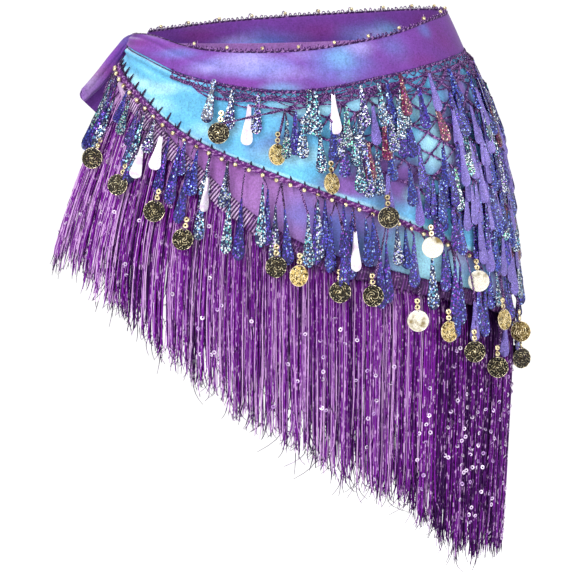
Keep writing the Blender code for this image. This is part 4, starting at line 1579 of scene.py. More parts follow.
class Hanger:
    """Hangs drops and coins in front of the panels, each on its own cord."""

    def __init__(self, gather, seed, offset, spread, outline=SPOON, stretch=1.0):
        """offset is how far out from the hips things hang at least, and spread how much farther they may."""
        spangles = bpy.context.scene.scarf_spangles
        self.gather, self.chance, self.stretch = gather, random.Random(seed), stretch
        self.offset, self.spread = offset, spread
        self.length = spangles.drop_length / MM
        self.radius = spangles.coin_radius / MM
        self.bead_height = spangles.bead_height / MM
        self.drop = teardrop(outline, self.length, spangles.drop_width / MM, spangles.drop_thickness / MM)
        self.plain = teardrop(SPOON, self.length, spangles.drop_width / MM, spangles.drop_thickness / MM)
        self.field, self.relief = coin_forms(self.radius, spangles.coin_thickness / MM)
        self.bead = ring_bead(spangles.bead_width / MM, self.bead_height)
        self.cords = []

    def hang_drop(self, kind, angle, end, lean, offset, carrier):
        """A drop whose lower end is at a place, with its cord up to the carrier's point."""
        chance = self.chance
        scale = chance.uniform(0.90, 1.06) * self.stretch
        if kind in ("mirror", "violet"):
            scale = min(scale, 0.95) * (0.86 if angle < -110 else 1.0)
        if self.stretch > 1:
            scale = min(scale, max((carrier[2] - end - 2.5) / self.length, 0.7))
        offset = offset - LEFT_EASE * clamped((-150 - angle) / 20)
        bottom, outward, around = on_hips(angle, end, offset)
        above = place(angle, end + self.length, offset) + around * lean - outward * chance.uniform(0.2, 1.2)
        down = unit(bottom - above)
        top = bottom - down * self.length * scale
        square = math.copysign(90, angle)
        turned = math.radians(square - angle) * (0.5 if abs(angle) > 90 else 0.2)
        axes = turned_axes(outward, around, down, turned + chance.gauss(0, 0.22))
        points, faces = self.plain if kind in ("mirror", "violet") else self.drop
        narrow = 0.82 if kind == "violet" else 0.95
        shaped = points * (narrow * chance.uniform(0.92, 1.06), 1.0, scale)
        flat = points + (chance.uniform(0, 400), 0, chance.uniform(0, 400))
        placed = top + shaped @ axes
        self.gather.add((placed, faces), kind, chance.random(), flat)
        self.cords.append((carrier, top + down * 1.2))

    def hang_coin(self, kind, angle, end, lean, offset, carrier):
        """A coin under two beads, with its lower edge at a place."""
        chance = self.chance
        centre, outward, around = on_hips(angle, end + self.radius, offset + 2.4)
        above = place(angle, end + self.radius + 24, offset) + around * lean
        down = unit(centre - above)
        yaw = math.radians(math.copysign(90, angle) - angle) * 0.7
        if kind == "gold coin":
            yaw += chance.choice((-1, 1)) * chance.uniform(0.5, 0.9)
        else:
            yaw += chance.gauss(0, 0.15)
        axes = turned_axes(outward, around, down, yaw)
        for (points, faces), finish in zip((self.field, self.relief), COIN_FINISHES[kind]):
            self.gather.add((centre + points @ axes, faces), finish)
        bead_axes = turned_axes(outward, around, down, 0)
        for step in (0.5, 1.5):
            middle = centre - down * (self.radius + self.bead_height * step)
            # Gold for the ring, and for the hole a dark disc of painted shade.
            for (points, faces), finish in zip(self.bead, ("gold", "enamel")):
                self.gather.add((middle + points @ bead_axes, faces), finish)
        self.cords.append((carrier, centre - down * (self.radius - 1.5)))

    def hang(self, item, carrier):
        offset = self.offset + self.chance.uniform(0, self.spread)
        hang = self.hang_coin if item.kind.endswith("coin") else self.hang_drop
        hang(*item, offset, carrier)

    def top_of(self, item):
        """The height of an item's upper end."""
        if item.kind.endswith("coin"):
            return item.end + 2 * self.radius + 2 * self.bead_height
        return item.end + self.length

    def tie_all(self, radius, finish):
        """The cords from each item up to what carries it."""
        t = np.linspace(0, 1, 11)[None, :, None]
        starts = np.array([start for start, _ in self.cords])[:, None]
        ends = np.array([end for _, end in self.cords])[:, None]
        outward = outwards(starts)
        paths = starts + (ends - starts) * t + outward * 1.4 * np.sin(math.pi * t) * (t < 1)
        shades = np.array([self.chance.uniform(-0.2, 0.5) for _ in self.cords])
        twisted(self.gather, paths, outward, radius, 3.2, finish, shades, bumps=0.3)


def nearest(points, angle, height):
    """The (angle, height) of points that is nearest to a place, judged on the cloth."""
    here = place(angle, height, 0)
    spots = place(points[:, 0], points[:, 1], 0)
    return points[np.argmin(np.linalg.norm(spots - here, axis=1))]


def mirrored(items, edge):
    """The same items on the other side of the scarf's point, as far below an edge."""
    found = []
    for item in items:
        angle = 2 * POINT_ANGLE - item.angle
        if CLOTH_START < item.angle < POINT_ANGLE - 4 and angle < CLOTH_END - 2:
            end = float(edge(angle)) + item.end - float(edge(item.angle))
            found.append(Hanging(item.kind, angle, end, -item.lean))
    return found


def companions(items, likelihood, kinds, seed):
    """Drops that hang behind others, a little to one side of them."""
    chance = random.Random(seed)
    found = []
    for item in items:
        if not item.kind.endswith("coin") and chance.random() < likelihood:
            aside = float(degrees_in(item.angle, item.end, chance.choice((-1, 1)) * chance.uniform(4.5, 8.5)))
            kind = chance.choice(kinds)
            found.append(Hanging(kind, item.angle + aside, item.end + chance.uniform(-7, 12)))
    return found


def filler(knots, items, seed):
    """Plain and glittering drops on the net knots that have room, thickest towards the point."""
    chance = random.Random(seed)
    found = []
    for angle, height in knots:
        far = abs(angle - POINT_ANGLE)
        for aside, lower in ((0, 0), (3.4, -9)):
            if far > 62 or chance.random() > 1.2 - far / 80 - 0.06 * aside:
                continue
            kind = chance.choices(("violet", "blue", "silver", "red"), (50, 38, 7, 5))[0]
            end = height - 41 + lower + chance.uniform(-3, 3)
            if not any(abs(item.angle - angle - aside) < 1.6 and abs(item.end - end) < 12 for item in items):
                found.append(Hanging(kind, angle + aside + chance.uniform(-1, 1), end, chance.uniform(-2, 2)))
    return found


def net_places():
    """Every knot of both nets, as (angle, height)."""
    return np.concatenate([net_corners(net_knots(start, end)) for start, end in NETS.values()])


# How far below the band a drop on each row starts at most, in mm.
ROW_LIMITS = {"band_drops": 30, "high_net_drops": 78, "low_net_drops": math.inf}


def sorted_rows(items):
    """Items shared out between the band and the two rows of the net, by how low they start."""
    rows = {name: [] for name in ROW_LIMITS}
    for item in items:
        fall = float(band_bottom(item.angle)) - (item.end + 40)
        rows[next(name for name, limit in ROW_LIMITS.items() if fall < limit)].append(item)
    return rows


def in_window(item):
    """Whether an item is where the net is bare, on both sides of the point."""
    return 43 < abs(item.angle - POINT_ANGLE) < 60 and -146 < item.end < -66


def band_edge(gather, radius):
    """The crochet along the band's lower edge."""
    line = below(band_bottom, 1.0)
    round_cord(gather, line, CLOTH_START + 2, -NET_REACH, 6.0, radius * 0.45, 4.0, shade=0.0)
    round_cord(gather, line, -NET_REACH, CLOTH_END - 2, 6.0, radius * 0.85, 4.0, shade=0.35, bumps=0.3)
    stitches = steps_along(line, -NET_REACH, CLOTH_END - 3, 4.4)
    picots(gather, line, stitches, 6.6, 1.8, 0.45, 0, "band edge")
    loops = steps_along(line, -NET_REACH, NET_REACH, 9.0)
    t = np.linspace(0, 1, 9)
    paths = []
    for low, high in zip(loops, loops[1:]):
        angles = low + (high - low) * t
        paths.append(place(angles, line(angles) - 4.2 * np.sin(math.pi * t), 5.8))
    paths = np.array(paths)
    twisted(gather, paths, outwards(paths), 0.7, 4.0, shade=0.4, bumps=0.3)


class SCARF_OT_net_drops(bpy.types.Operator):
    """The drops and coins that hang from the band and the net"""

    bl_idname = "scarf.net_drops"
    bl_label = "Band and net drops"

    def execute(self, context):
        radius = context.scene.scarf_crochet.edging_radius / MM
        knots = net_places()
        placed = list(BAND_HANGINGS) + mirrored(BAND_HANGINGS, band_bottom)
        items = placed + filler(knots, placed, "filler")
        items += companions([item for item in items if item.angle > -102], 0.3, ("silver", "blue"), "band")
        items = [item for item in items if item in placed or not in_window(item)]
        rows = sorted_rows(items)
        strips = {
            "band_drops": (band_strip_bottom, *drawn_in(2), 5.6),
            "high_net_drops": (high_net_strip_bottom, -73, 73, 6.4),
            "low_net_drops": (low_net_strip_bottom, -47, 47, 6.4),
        }
        for name, (edge, start, end, offset) in strips.items():
            gather = Gather()
            hanger = Hanger(gather, name, 8.6, 4.6)
            if name == "band_drops":
                band_edge(gather, radius)
            else:
                round_cord(gather, edge, start, end, offset, 0.9, 3.6, lift=3.0, shade=0.4, bumps=0.3)
            for item in sorted(rows[name]):
                top = hanger.top_of(item)
                ledge = float(band_strip_bottom(item.angle)) + 2
                if top > ledge - 7:
                    carrier = place(item.angle, ledge, 6.6)
                else:
                    angle, height = nearest(knots, item.angle, top + 2)
                    carrier = place(angle, height, NET_OFFSET + 1.6)
                hanger.hang(item, carrier)
            hanger.tie_all(1.05, "plum")
            gather.piece(f"{name}_spangles", finish_materials(), name, name, smooth_angle=40)
        return {"FINISHED"}


def hang_points(edge, pitch):
    """Points along an edge that drops can hang from, as (angle, height)."""
    angles = steps_along(edge, *drawn_in(3), pitch)
    return np.stack([angles, edge(angles)], axis=1)


def blanket_stitches(gather, line, pitch):
    """Blanket stitches: a short and a long thread that fan up the panel from one hole."""
    chance = random.Random("spikes")
    t = np.linspace(0, 1, 5)
    paths, widths = [], []
    for angle in steps_along(line, *drawn_in(5), pitch):
        base = float(line(angle))
        slack = clamped((-112 - angle) / 16)
        short, long = (-3.0 * slack - 0.4, 3 + 3 * slack, 0.6), (3.6 * slack, 4.6 + 3.4 * slack, 1.15)
        for lean, tall, wide in (short, long):
            tall = tall * chance.uniform(0.8, 1.15)
            lean = lean + chance.uniform(-0.6, 0.6)
            spread = degrees_in(angle, base, lean * t)
            paths.append(place(angle + spread, base + tall * t, 4.5 - 0.2 * t))
            widths.append(wide * np.array([1.0, 1.1, 0.95, 0.7, 0.35]))
    form = tubes(np.array(paths), np.array(widths), 6, (0, 0.3, 1.0))
    gather.add(form, "plum", -0.6, form[0])


def hem_drops(crochet, items):
    """The corded and beaded upper hem, its stitches and its drops."""
    gather = Gather()
    line = below(upper_hem, 1.4)
    round_cord(gather, line, *drawn_in(2), 4.6, 1.7, 4.2, finish="magenta", shade=0.5, bumps=0.35)
    round_cord(gather, line, *drawn_in(2), 4.4, 1.1, 3.4, lift=-2.6, finish="magenta", shade=0.7, bumps=0.35)
    loops = steps_along(line, *drawn_in(3), 4.4)
    picots(gather, line, loops, 5.0, 1.6, 0.45, "magenta", "hem loops")
    blanket_stitches(gather, line, crochet.spike_pitch / MM)
    steps = steps_along(line, *drawn_in(4), crochet.spike_pitch / MM)
    beads_along(gather, line, steps, 3.4, 6.8, crochet.bead / MM)
    hanger = Hanger(gather, "upper hem", 8.8, 3.2, TAPER, stretch=1.4)
    points = hang_points(line, 17.0)
    points[:, 1] -= 3.0
    for item in sorted(items):
        angle, height = nearest(points, item.angle, float(line(item.angle)))
        hanger.hang(item, place(angle, height, 6.0))
    hanger.tie_all(1.0, "plum")
    gather.piece("upper_hem_spangles", finish_materials(), "upper_hem_drops", "upper_hem_drops")


def hem_coins(items):
    """The corded lower hem and its coins."""
    gather = Gather()
    line = below(lower_hem, 0.8)
    round_cord(gather, line, *drawn_in(2), 4.0, 1.1, 3.6, finish="magenta", shade=0.6, bumps=0.35)
    hanger = Hanger(gather, "lower hem", 9.4, 2.4)
    points = hang_points(line, 9.0)
    upper = hang_points(lambda angle: upper_hem(angle) - 5, 17.0)
    for item in sorted(items):
        top = hanger.top_of(item)
        on_lower = top < float(line(item.angle)) - 2
        angle, height = nearest(points if on_lower else upper, item.angle, top)
        hanger.hang(item, place(angle, height, 5.0))
    hanger.tie_all(1.05, "plum")
    gather.piece("lower_hem_spangles", finish_materials(), "lower_hem_drops", "lower_hem_drops")


class SCARF_OT_hem_drops(bpy.types.Operator):
    """The beaded upper hem with its stitches, and the drops and coins below it"""

    bl_idname = "scarf.hem_drops"
    bl_label = "Hem drops"

    def execute(self, context):
        crochet = context.scene.scarf_crochet
        items = list(LOWER_HANGINGS) + mirrored(LOWER_HANGINGS, lower_hem)
        crowded = [item for item in items if item.angle > -98 or item.angle < -128]
        items += companions(crowded, 0.6, ("blue", "blue", "blue", "silver"), "hem")
        hem_drops(crochet, [item for item in items if not item.kind.endswith("coin")])
        hem_coins([item for item in items if item.kind.endswith("coin")])
        return {"FINISHED"}


# Fringe.


def header_ribs(gather, start, end, finish):
    """Short ribs of looped thread side by side under the lower hem, square to it."""
    crochet = bpy.context.scene.scarf_crochet
    tall, pitch = crochet.rib_height / MM, crochet.rib_pitch / MM
    angles = steps_along(lower_hem, start, end, pitch)
    point, outward, _ = on_hips(angles, lower_hem(angles) + 3.0, 1.6)
    ahead = place(angles + 0.5, lower_hem(angles + 0.5) + 3.0, 1.6)
    along = unit(ahead - point)
    square = unit(np.cross(along, outward))
    square *= np.where(square[:, 2:3] > 0, -1.0, 1.0)
    chance = np.random.default_rng(11)
    t = np.linspace(0, 1, 7)[None, :, None]
    reach = 2.0 + tall * chance.uniform(0.9, 1.1, (len(angles), 1, 1))
    lifts = 2.0 * clamped(t / 0.3) + 0.7 * np.sin(math.pi * t)
    paths = point[:, None] + square[:, None] * t * reach + outward[:, None] * lifts
    light = np.arange(len(angles)) % 2 == 1
    for pick, radius, shade in ((~light, 1.2, 0.05), (light, 0.8, 1.35)):
        # Painted shade: the ribs are darker over the whole stretch round the point, where the drops above
        # shade them, and keep their light only near the ends by the knot.
        inner = clamped((107 - np.abs(angles[pick] - POINT_ANGLE)) / 14)
        shades = shade * (1 - 0.72 * inner) + chance.uniform(-0.15, 0.15, pick.sum())
        lifted = paths[pick] + outward[pick][:, None] * (1.3 - radius) * 2.0
        form = tubes(lifted, np.full(lifted.shape[:2], radius), 4, outward[pick][:, None])
        flat = laid_flat(travelled(lifted), np.arange(pick.sum()) * 7.3, 4, turn=0)
        gather.add(form, finish, np.repeat(shades, lifted.shape[1] * 4), flat)


def clumps(places, chance):
    """(the middle of each place's clump, its index, how many clumps there are) along the hem."""
    bounds = [places.min() - 1]
    while bounds[-1] < places.max() + 1:
        bounds.append(bounds[-1] + chance.uniform(4.0, 9.0))
    bounds = np.array(bounds)
    index = np.searchsorted(bounds, places) - 1
    return (bounds[index] + bounds[index + 1]) / 2, index, len(bounds)


def places_of(angles):
    """How far round the lower hem each angle is, in mm."""
    return np.interp(angles, *edge_run(lower_hem, *drawn_in(-6), 900))


def hang_lines(angles, chance, fall_shares, lengths, layers):
    """The paths of threads that start at angles along the hem, gathered into soft clumps."""
    places = places_of(angles)
    middles, index, total = clumps(places, chance)
    free = clamped((np.abs(angles - POINT_ANGLE) - 1) / 6)
    pull = chance.uniform(0.0, 0.38, total)[index] * free
    drift = chance.normal(0, 1.2, total)[index] * free
    lengths = lengths + chance.uniform(-5, 5, total)[index]
    t = fall_shares[None, :]
    each = (len(angles), 1)
    wave = chance.uniform(0.1, 0.75, each)
    cycles = chance.uniform(0.6, 1.8, each)
    phase = chance.uniform(0, 2 * math.pi, each)
    hook = chance.normal(0, 2.6, each)
    angles, lengths, layers, pull, drift, apart = (
        values[:, None] for values in (angles, lengths, layers, pull, drift, middles - places)
    )
    aside = apart * pull * t**1.4 + drift * t**1.6
    aside = aside + wave * (np.sin(2 * math.pi * cycles * t + phase) - np.sin(phase)) * (0.25 + t)
    aside = aside + hook * clamped((t - 0.88) / 0.12) ** 2
    heights = lower_hem(angles) - FRINGE_START - (lengths - FRINGE_START) * t
    out_wave = 0.5 * np.sin(2 * math.pi * cycles * t + phase * 1.7)
    offset = 0.7 + (layers - 0.3) * clamped(t / 0.12) + out_wave * t
    offset = offset - LEFT_EASE * clamped((-145 - angles) / 30) * (1 - t)
    return place(angles + degrees_in(angles, heights, aside), heights, offset)


def wisps(gather, paths, chance):
    """Fine ends that fray out of the threads' tips, curling to one side."""
    count = len(paths)
    tip, back = paths[:, -1], paths[:, -3]
    down = unit(tip - back)
    outward = outwards(tip)
    aside = np.cross(down, outward)
    t = np.linspace(0, 1, 5)[None, :, None]
    reach = chance.gamma(2.0, 3.2, count).clip(3, 20)[:, None, None]
    curl = chance.normal(0, 0.7, count)[:, None, None]
    line = tip[:, None] - down[:, None] * 3 + down[:, None] * reach * t
    lift = chance.uniform(0, 1, (count, 1, 1)) * t
    line = line + aside[:, None] * curl * reach * t**2 + outward[:, None] * lift
    form = tubes(line, np.linspace(0.46, 0.22, 5)[None], 3, outward[:, None])
    flat = laid_flat(np.repeat(t[..., 0] * 20, count, axis=0), 0, 3, turn=0)
    gather.add(form, 0, np.repeat(chance.uniform(-0.3, 0.35, count), 15), flat)


def add_threads(gather, start, end, count, radius, seed):
    """Threads from the lower hem, with frayed ends."""
    chance = np.random.default_rng(seed)
    spread = evenly_spaced(lower_hem, start + 0.1, end - 0.1, count)[:count]
    spread = spread + chance.normal(0, 0.10, count)
    angles = np.clip(spread, start, end)
    layers = chance.choice([0.2, 1.2, 2.4, 3.6], count, p=[0.2, 0.3, 0.3, 0.2])
    layers = layers + chance.uniform(0, 0.9, count)
    far = np.abs(angles - POINT_ANGLE)
    blunt = 13 * hump(far, 44, 9) - 14 * np.clip(1 - far / 30, 0, 0.7)
    lengths = cut("fringe_length", angles) + blunt + chance.normal(0, 4.6, count)
    short = chance.random(count) < 0.45
    lengths = np.where(short, lengths * chance.uniform(0.62, 0.98, count), lengths)
    falls = np.linspace(0, 1, 10)
    falls[-2] = 0.94
    paths = hang_lines(angles, chance, falls, lengths, layers)
    right = clamped((66 - far) / 16)
    pale = chance.random(count) < 0.15 - 0.09 * right
    thick = radius * np.where(pale, 0.7, chance.uniform(0.75, 1.2, count))[:, None] * np.ones((1, len(falls)))
    thick[:, -1] *= 0.4
    outward = outwards(paths)
    sides = 3
    form = tubes(paths, thick, sides, outward)
    streaks = np.interp(places_of(angles), np.arange(-40, 1400, 3.2), chance.random(450))
    # Painted light and shade in each thread's shade: lighter at the far left end, where the light falls, with
    # a darker dip just beside it; darker on the inner layers and towards the point, which lie in shade.
    left = clamped((-137 - angles) / 9) - 0.6 * clamped(1 - np.abs(angles + 129) / 11)
    shades = 0.10 + 0.94 * chance.beta(0.8, 0.7, count) + 0.14 * streaks + 0.26 * left
    shades = shades + np.where(layers < 1.3, -0.26, 0.04)
    shades = shades + (0.32 + 0.45 * (shades - 0.5) - shades) * 0.9 * right
    shades = np.where(pale, 1.45 - 0.45 * right, shades)
    # Painted shade on the sides and backs of each thread, and a painted shadow along the tops of the threads
    # near the point, under the drops. On the stretch between the point and the sides, every fourth thread is
    # painted paler towards its lower end and the others a little darker.
    turned_in_shade = 0.42 * (1 - np.cos(2 * math.pi * np.arange(sides) / sides)) / 2
    shaded = 0.4 * clamped((54 - far) / 14)[:, None] * clamped(1 - falls / 0.3)
    middle = clamped((far - 66) / 14) * clamped((118 - np.abs(angles)) / 12)
    end_tones = np.where(np.arange(count) % 4 == 1, 0.8, -0.12) * middle
    lighter = end_tones[:, None] * clamped((falls - 0.35) / 0.4)
    along = (shades[:, None] - shaded + lighter)[:, :, None] - turned_in_shade
    flat = laid_flat(travelled(paths), np.arange(count) * 19.7, sides)
    gather.add(form, 0, along.reshape(-1), flat)
    wisps(gather, paths[::2], chance)


def ring_sequins(fringe):
    """Ring sequins threaded on the fringe, in loose columns."""
    chance = np.random.default_rng(23)
    radius = fringe.sequin_radius / MM
    hole = radius * 0.42
    ring = lathed([(hole, 0.16), (radius, 0.05), (radius, -0.12), (hole, -0.16), (hole, 0.16)], 8)
    spots = []
    while len(spots) < fringe.sequins:
        angle = chance.uniform(*drawn_in(2))
        near_point = hump(angle, POINT_ANGLE, 75)
        if chance.random() > 0.3 + 0.5 * near_point:
            continue
        length = float(cut("fringe_length", angle))
        top = float(lower_hem(angle))
        fall = chance.uniform(0.2, 0.9)
        for _ in range(int(chance.integers(1, 5 if near_point > 0.4 else 2))):
            spots.append((angle + chance.normal(0, 0.5), top - length * fall))
            fall += chance.uniform(0.05, 0.16)
            if fall > 0.96:
                break
    spots = np.array(spots)
    points, outward, around = on_hips(spots[:, 0], spots[:, 1], 5.2)
    tilt = chance.normal(0, 0.45, (len(spots), 2))
    normal = unit(outward + around * tilt[:, :1] + np.array((0, 0, 1.0)) * tilt[:, 1:])
    across = unit(np.cross((0, 0, 1.0), normal))
    axes = np.stack([across, np.cross(normal, across), normal], axis=-2)
    gather = Gather()
    gather.add(scatter(ring, points, axes))
    gather.piece("ring_sequins", [sequin_foil()], "fringe_front", smooth_angle=40)


class SCARF_OT_fringe(bpy.types.Operator):
    """The long rayon fringe under its ribbed header, and the ring sequins on it"""

    bl_idname = "scarf.fringe"
    bl_label = "Fringe"

    def execute(self, context):
        fringe = context.scene.scarf_fringe
        for name, start, end, count, seed in (
            ("fringe_front", CLOTH_START, POINT_ANGLE, fringe.front_threads, 5),
            ("fringe_back", POINT_ANGLE, CLOTH_END, fringe.back_threads, 6),
        ):
            gather = Gather()
            add_threads(gather, start, end, count, fringe.thread_radius / MM, seed)
            header_ribs(gather, start + 0.3, end - 0.3, 1)
            gather.piece(f"{name}_threads", [rayon(), rib_yarn()], name, name, smooth_angle=125)
        ring_sequins(fringe)
        return {"FINISHED"}


# The tie.


def between_rows(rows, count):
    """More rows of a table, on smooth curves through those that it has."""
    keyed = [namedtuple("Keyed", ("key",) + row._fields)(i, *row) for i, row in enumerate(rows)]
    at = np.linspace(0, len(rows) - 1, count)
    return {field: smooth_between(keyed, "key", at, field) for field in rows[0]._fields}


def shell_from(gather, outer, inner, flat, dyes, shades):
    """A closed shell of cloth from two grids of points."""

    def both(grid):
        return np.concatenate([grid, grid[:, ::-1]], axis=1)

    ring = np.concatenate([outer, inner[:, ::-1]], axis=1)
    index = np.arange(ring.shape[0] * ring.shape[1]).reshape(ring.shape[:2])
    caps = []
    for line in (index[0, ::-1], index[-1]):
        back = line[::-1]
        caps += [(line[i], line[i + 1], back[i + 1], back[i]) for i in range(outer.shape[1] - 1)]
    dyes = {dye: both(amount).reshape(-1) for dye, amount in dyes.items()}
    gather.add((ring, [skin(index), np.array(caps)]), 0, both(shades).reshape(-1), both(flat), dyes)


def tail_dyes(heights):
    zero = np.zeros_like(heights)
    amounts = dye_amounts("tail", zero, heights)
    return {dye: amount.reshape(heights.shape) for dye, amount in amounts.items()}


def make_front_tail():
    """The end that comes out of the knot to the front, folded over on itself."""
    rows = between_rows(FRONT_TAIL, 40)
    fold = np.stack([rows["fold_x"], rows["fold_y"], rows["fold_z"]], axis=1)
    edge = np.stack([rows["edge_x"], rows["edge_y"], rows["edge_z"]], axis=1)
    along = unit(np.gradient(fold, axis=0))
    across = edge - fold
    width = np.linalg.norm(across, axis=1)
    across = unit(across)
    front = unit(np.cross(across, along))
    front *= np.where(front[:, 1:2] > 0, -1.0, 1.0)
    gap, thick, corner = 5.0, 1.4, 7.0
    steps = 13
    far_end = np.linalg.norm(np.diff(fold, axis=0), axis=1).sum()
    share = np.linspace(0, 1, 40)
    turns = np.radians(np.linspace(-90, -270, 12))
    grids = []
    for grow in (0.1, thick + 0.1):
        bend = np.stack([gap / 2 + (gap / 2 + grow) * turned for turned in (np.cos(turns), np.sin(turns))], 1)
        lines = []
        for i in range(len(share)):
            body = np.linspace(width[i], gap / 2, steps + 1)[:-1]
            flap = np.linspace(gap / 2, max(width[i] * rows["flap"][i], gap), steps + 1)[1:]
            under = np.stack([body, np.full(steps, -grow)], 1)
            done = (flap - flap[0]) / (flap[-1] - flap[0] + 1e-6)
            over = np.stack([flap, grow + gap - 3.6 * done**3 + 1.6 * np.sin(math.pi * done)], 1)
            aside, lift = np.concatenate([under, bend, over]).T
            wave = 0.7 * np.sin(aside * 0.35 + share[i] * 7) + 0.5 * np.sin(aside * 0.21 - share[i] * 12)
            lift = lift + np.clip(wave * clamped(aside / 8), -0.9, 1.2)
            short = corner - np.sqrt(corner**2 - np.clip(corner - aside, 0, corner) ** 2)
            back = short * clamped(1 - (1 - share[i]) * far_end / 16)
            spot = fold[i] + np.outer(aside, across[i]) + np.outer(lift, front[i])
            lines.append(spot - np.outer(back, along[i]))
        grids.append(np.array(lines))
    inner, outer = grids
    flat = np.zeros_like(outer)
    flat[..., 0], flat[..., 1] = np.arange(outer.shape[1]), outer[..., 2]
    far, flap = share[:, None], rows["flap"][:, None]
    under = np.arange(outer.shape[1])[None] < steps
    reach = np.linalg.norm(outer - fold[:, None], axis=2) / width[:, None]
    # Painted light and shade: a painted highlight near the fold towards the lower end, a lighter line along
    # the flap's free edge, a painted shadow on the layer under the flap, darkest beneath it, and painted
    # shade near the knot.
    bright = 0.36 * np.exp(-(((far - 0.80) / 0.26) ** 2) - ((reach - 0.10) / 0.22) ** 2)
    over = 0.48 + bright + 0.12 * hump(reach, flap, 0.07)
    shades = np.where(under, 0.40 + 0.16 * clamped((reach - flap) / 0.5), over) - 0.20 * hump(far, 0, 0.2)
    gather = Gather()
    shell_from(gather, outer, inner, flat, tail_dyes(outer[..., 2]), shades)
    piece = gather.piece("front_tail_velvet", [band_velvet()], "front_tail", "front_tail")


def make_back_tail():
    """The end that hangs behind the knot."""
    rows = between_rows(BACK_TAIL, 30)
    aside = np.linspace(-0.5, 0.5, 21)
    point, outward, around = on_hips(rows["angle"], rows["height"], rows["offset"])
    down = np.linspace(0, 1, 30)[:, None]
    ripple = 1.0 * np.sin(aside[None] * 9 + 0.6 + down * 1.6) * (0.4 + 0.6 * down) + 0.5
    base = point[:, None] + around[:, None] * (aside[None] * rows["width"][:, None])[..., None]
    inner = base + outward[:, None] * ripple[..., None]
    outer = inner + outward[:, None] * 1.4
    flat = np.zeros_like(outer)
    flat[..., 0], flat[..., 1] = aside[None] * 30, outer[..., 2]
    gather = Gather()
    # Painted light and shade that follows the slopes of the ripples.
    shades = 0.5 + 0.14 * np.cos(aside[None] * 9 + 0.6 + down * 1.6) * (0.4 + 0.6 * down)
    shell_from(gather, outer, inner, flat, tail_dyes(outer[..., 2]), shades)
    piece = gather.piece("back_tail_velvet", [band_velvet()], "back_tail", "back_tail")


def make_knot():
    """A rounded lump, wrapped by slanting folds of the band."""
    middle, outward, around = on_hips(KNOT_ANGLE, -6.0, BAND_OFFSET + 1.5)
    around_half, up_half, out_half = 10.0, 11.0, 7.5
    tilt = np.linspace(-math.pi / 2 + 0.06, math.pi / 2 - 0.06, 30)[:, None]
    turn = np.linspace(0, 2 * math.pi, 49)[None, :-1]

    def rounded(value):
        return np.sign(value) * np.abs(value) ** 0.65

    folds = 0.09 * np.sin(4 * (turn + tilt * 1.3)) + 0.05 * np.sin(7 * turn - tilt * 4)
    swell = 1 - 0.10 * np.cos(turn * 2 + tilt * 1.5) ** 6 + folds * np.cos(tilt)
    points = (
        middle
        + (around_half * rounded(np.cos(tilt)) * rounded(np.cos(turn)) * swell)[..., None] * around
        + (out_half * rounded(np.cos(tilt)) * rounded(np.sin(turn)) * swell)[..., None] * outward
        + (up_half * rounded(np.sin(tilt)) + 0 * turn)[..., None] * np.array((0, 0, 1.0))
    )
    index = np.arange(points.shape[0] * points.shape[1]).reshape(points.shape[:2])
    form = points, [skin(index), index[:1, ::-1], index[-1:]]
    gather = Gather()
    # Painted light and shade that follows the folds, lighter on their ridges.
    shades = (0.40 + 1.8 * folds * np.cos(tilt)).reshape(-1)
    gather.add(form, 0, shades, points, dye_amounts("tail", 0 * points[..., 2], points[..., 2]))
    gather.piece("knot_velvet", [band_velvet()], "knot", "knot")


class SCARF_OT_tie(bpy.types.Operator):
    """The knot at the wearer's right and the two tails of the tie"""

    bl_idname = "scarf.tie"
    bl_label = "Knot and tails"

    def execute(self, context):
        make_front_tail()
        make_back_tail()
        make_knot()
        return {"FINISHED"}


# The stage.


def lay_floor(height):
    """A round pale floor, far wider than the scarf."""
    mesh = bpy.data.meshes.new("floor")
    turns = np.linspace(0, 2 * math.pi, 65)[:-1]
    mesh.from_pydata([(30 * math.cos(turn), 30 * math.sin(turn), height) for turn in turns], [], [range(64)])
    material = bpy.data.materials.new("pale_floor")
    material.use_nodes = True
    wiring = Wiring(material.node_tree)
    shader = material.node_tree.nodes["Principled BSDF"]
    place_on = wiring.add("ShaderNodeTexCoord").outputs["Object"]
    mottle = wiring.noise(place_on, 2.0, 3.0)
    wiring.feed(shader.inputs["Base Color"], wiring.mix(mottle, (0.95, 0.95, 0.95), (0.9, 0.9, 0.9)))
    wiring.feed(shader.inputs["Roughness"], 0.9)
    wiring.feed(shader.inputs["Emission Color"], (1.0, 1.0, 1.0))
    wiring.feed(shader.inputs["Emission Strength"], 0.55)
    mesh.materials.append(material)
    floor = bpy.data.objects.new("floor", mesh)
    bpy.context.scene.collection.objects.link(floor)


def light_room(scene, strength):
    """White light all round, with brighter patches for the metal and the foil to mirror."""
    world = bpy.data.worlds.new("studio")
    world.use_nodes = True
    scene.world = world
    background = world.node_tree.nodes["Background"]
    background.inputs["Color"].default_value = (1.0, 1.0, 1.0, 1.0)
    wiring = Wiring(world.node_tree)
    rays = wiring.add("ShaderNodeLightPath").outputs
    room = wiring.noise(wiring.add("ShaderNodeTexCoord").outputs["Generated"], 3.2, 1.0)
    mirrored_room = wiring.scaled(wiring.ramp(room, 0.46, 0.62), 1.7, 0.12)
    level = wiring.times(wiring.minus(mirrored_room, strength), rays["Is Glossy Ray"])
    level = wiring.plus(level, strength)
    seen = wiring.times(wiring.minus(1.05, level), rays["Is Camera Ray"])
    wiring.feed(background.inputs["Strength"], wiring.plus(level, seen))


def hang_lamp(name, position, width, power):
    """A round lamp that faces the middle of the scarf."""
    data = bpy.data.lights.new(name, "AREA")
    data.shape = "DISK"
    data.size = width
    data.energy = power
    lamp = bpy.data.objects.new(name, data)
    lamp.location = position
    aim = np.array((0, 0, -0.24)) - np.array(position)
    lamp.rotation_euler = (
        math.atan2(math.hypot(aim[0], aim[1]), -aim[2]),
        0,
        math.atan2(aim[1], aim[0]) - math.pi / 2,
    )
    bpy.context.scene.collection.objects.link(lamp)


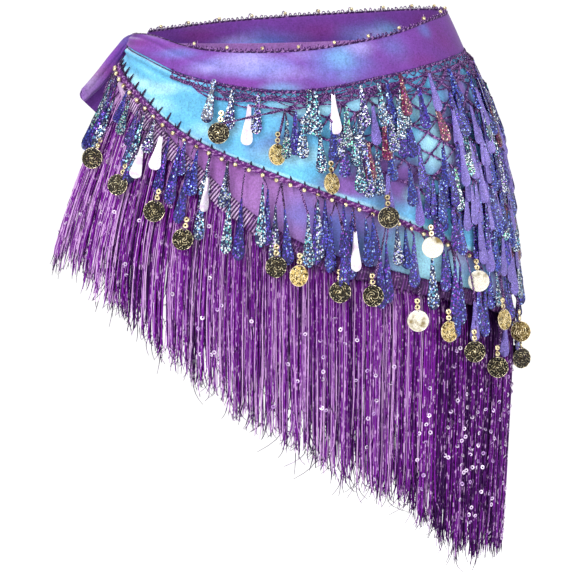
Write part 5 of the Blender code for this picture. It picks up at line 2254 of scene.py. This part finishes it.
def set_camera(scene, stage):
    """A camera in front, a long way off."""
    data = bpy.data.cameras.new("camera")
    data.sensor_width = 36
    data.lens = 36 * stage.distance / stage.view_width
    data.clip_end = 100
    camera = bpy.data.objects.new("camera", data)
    down = stage.elevation
    camera.location = (-0.003, -math.cos(down) * stage.distance, -0.239 + math.sin(down) * stage.distance)
    camera.rotation_euler = (math.pi / 2 - down, 0, 0)
    scene.collection.objects.link(camera)
    scene.camera = camera


class SCARF_OT_stage(bpy.types.Operator):
    """A pale floor, soft lights and the camera"""

    bl_idname = "scarf.stage"
    bl_label = "Stage"

    def execute(self, context):
        stage = context.scene.scarf_stage
        lay_floor(stage.floor_height)
        light_room(context.scene, stage.daylight)
        hang_lamp("key_light", (-1.5, -2.4, 1.5), 1.7, stage.key)
        hang_lamp("side_light", (2.2, -1.4, 0.5), 1.6, stage.fill)
        hang_lamp("back_light", (0.6, 2.4, 1.4), 1.8, stage.fill)
        set_camera(context.scene, stage)
        context.scene.view_settings.view_transform = "Standard"
        return {"FINISHED"}


class SCARF_PT_panel(bpy.types.Panel):
    """Makes the scarf piece by piece, and holds its sizes and colours"""

    bl_idname = "SCARF_PT_panel"
    bl_label = "Hip scarf"
    bl_space_type = "VIEW_3D"
    bl_region_type = "UI"
    bl_category = "Hip scarf"

    def draw(self, context):
        for operator in OPERATORS:
            self.layout.operator(operator.bl_idname)
        for name in SETTINGS:
            box = self.layout.box()
            group = getattr(context.scene, name)
            for field in group.bl_rna.properties:
                if field.identifier not in ("rna_type", "name"):
                    box.prop(group, field.identifier)


OPERATORS = (
    SCARF_OT_panels,
    SCARF_OT_waistband,
    SCARF_OT_edging,
    SCARF_OT_net,
    SCARF_OT_net_drops,
    SCARF_OT_hem_drops,
    SCARF_OT_fringe,
    SCARF_OT_tie,
    SCARF_OT_stage,
)


add_classes, remove_classes = bpy.utils.register_classes_factory(
    (*SETTINGS.values(), *OPERATORS, SCARF_PT_panel)
)


def register():
    add_classes()
    for name, settings in SETTINGS.items():
        setattr(bpy.types.Scene, name, PointerProperty(type=settings))


def unregister():
    for name in SETTINGS:
        delattr(bpy.types.Scene, name)
    remove_classes()


def main():
    register()
    for operator in OPERATORS:
        family, name = operator.bl_idname.split(".")
        getattr(getattr(bpy.ops, family), name)()
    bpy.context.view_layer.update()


if __name__ == "__main__":
    main()
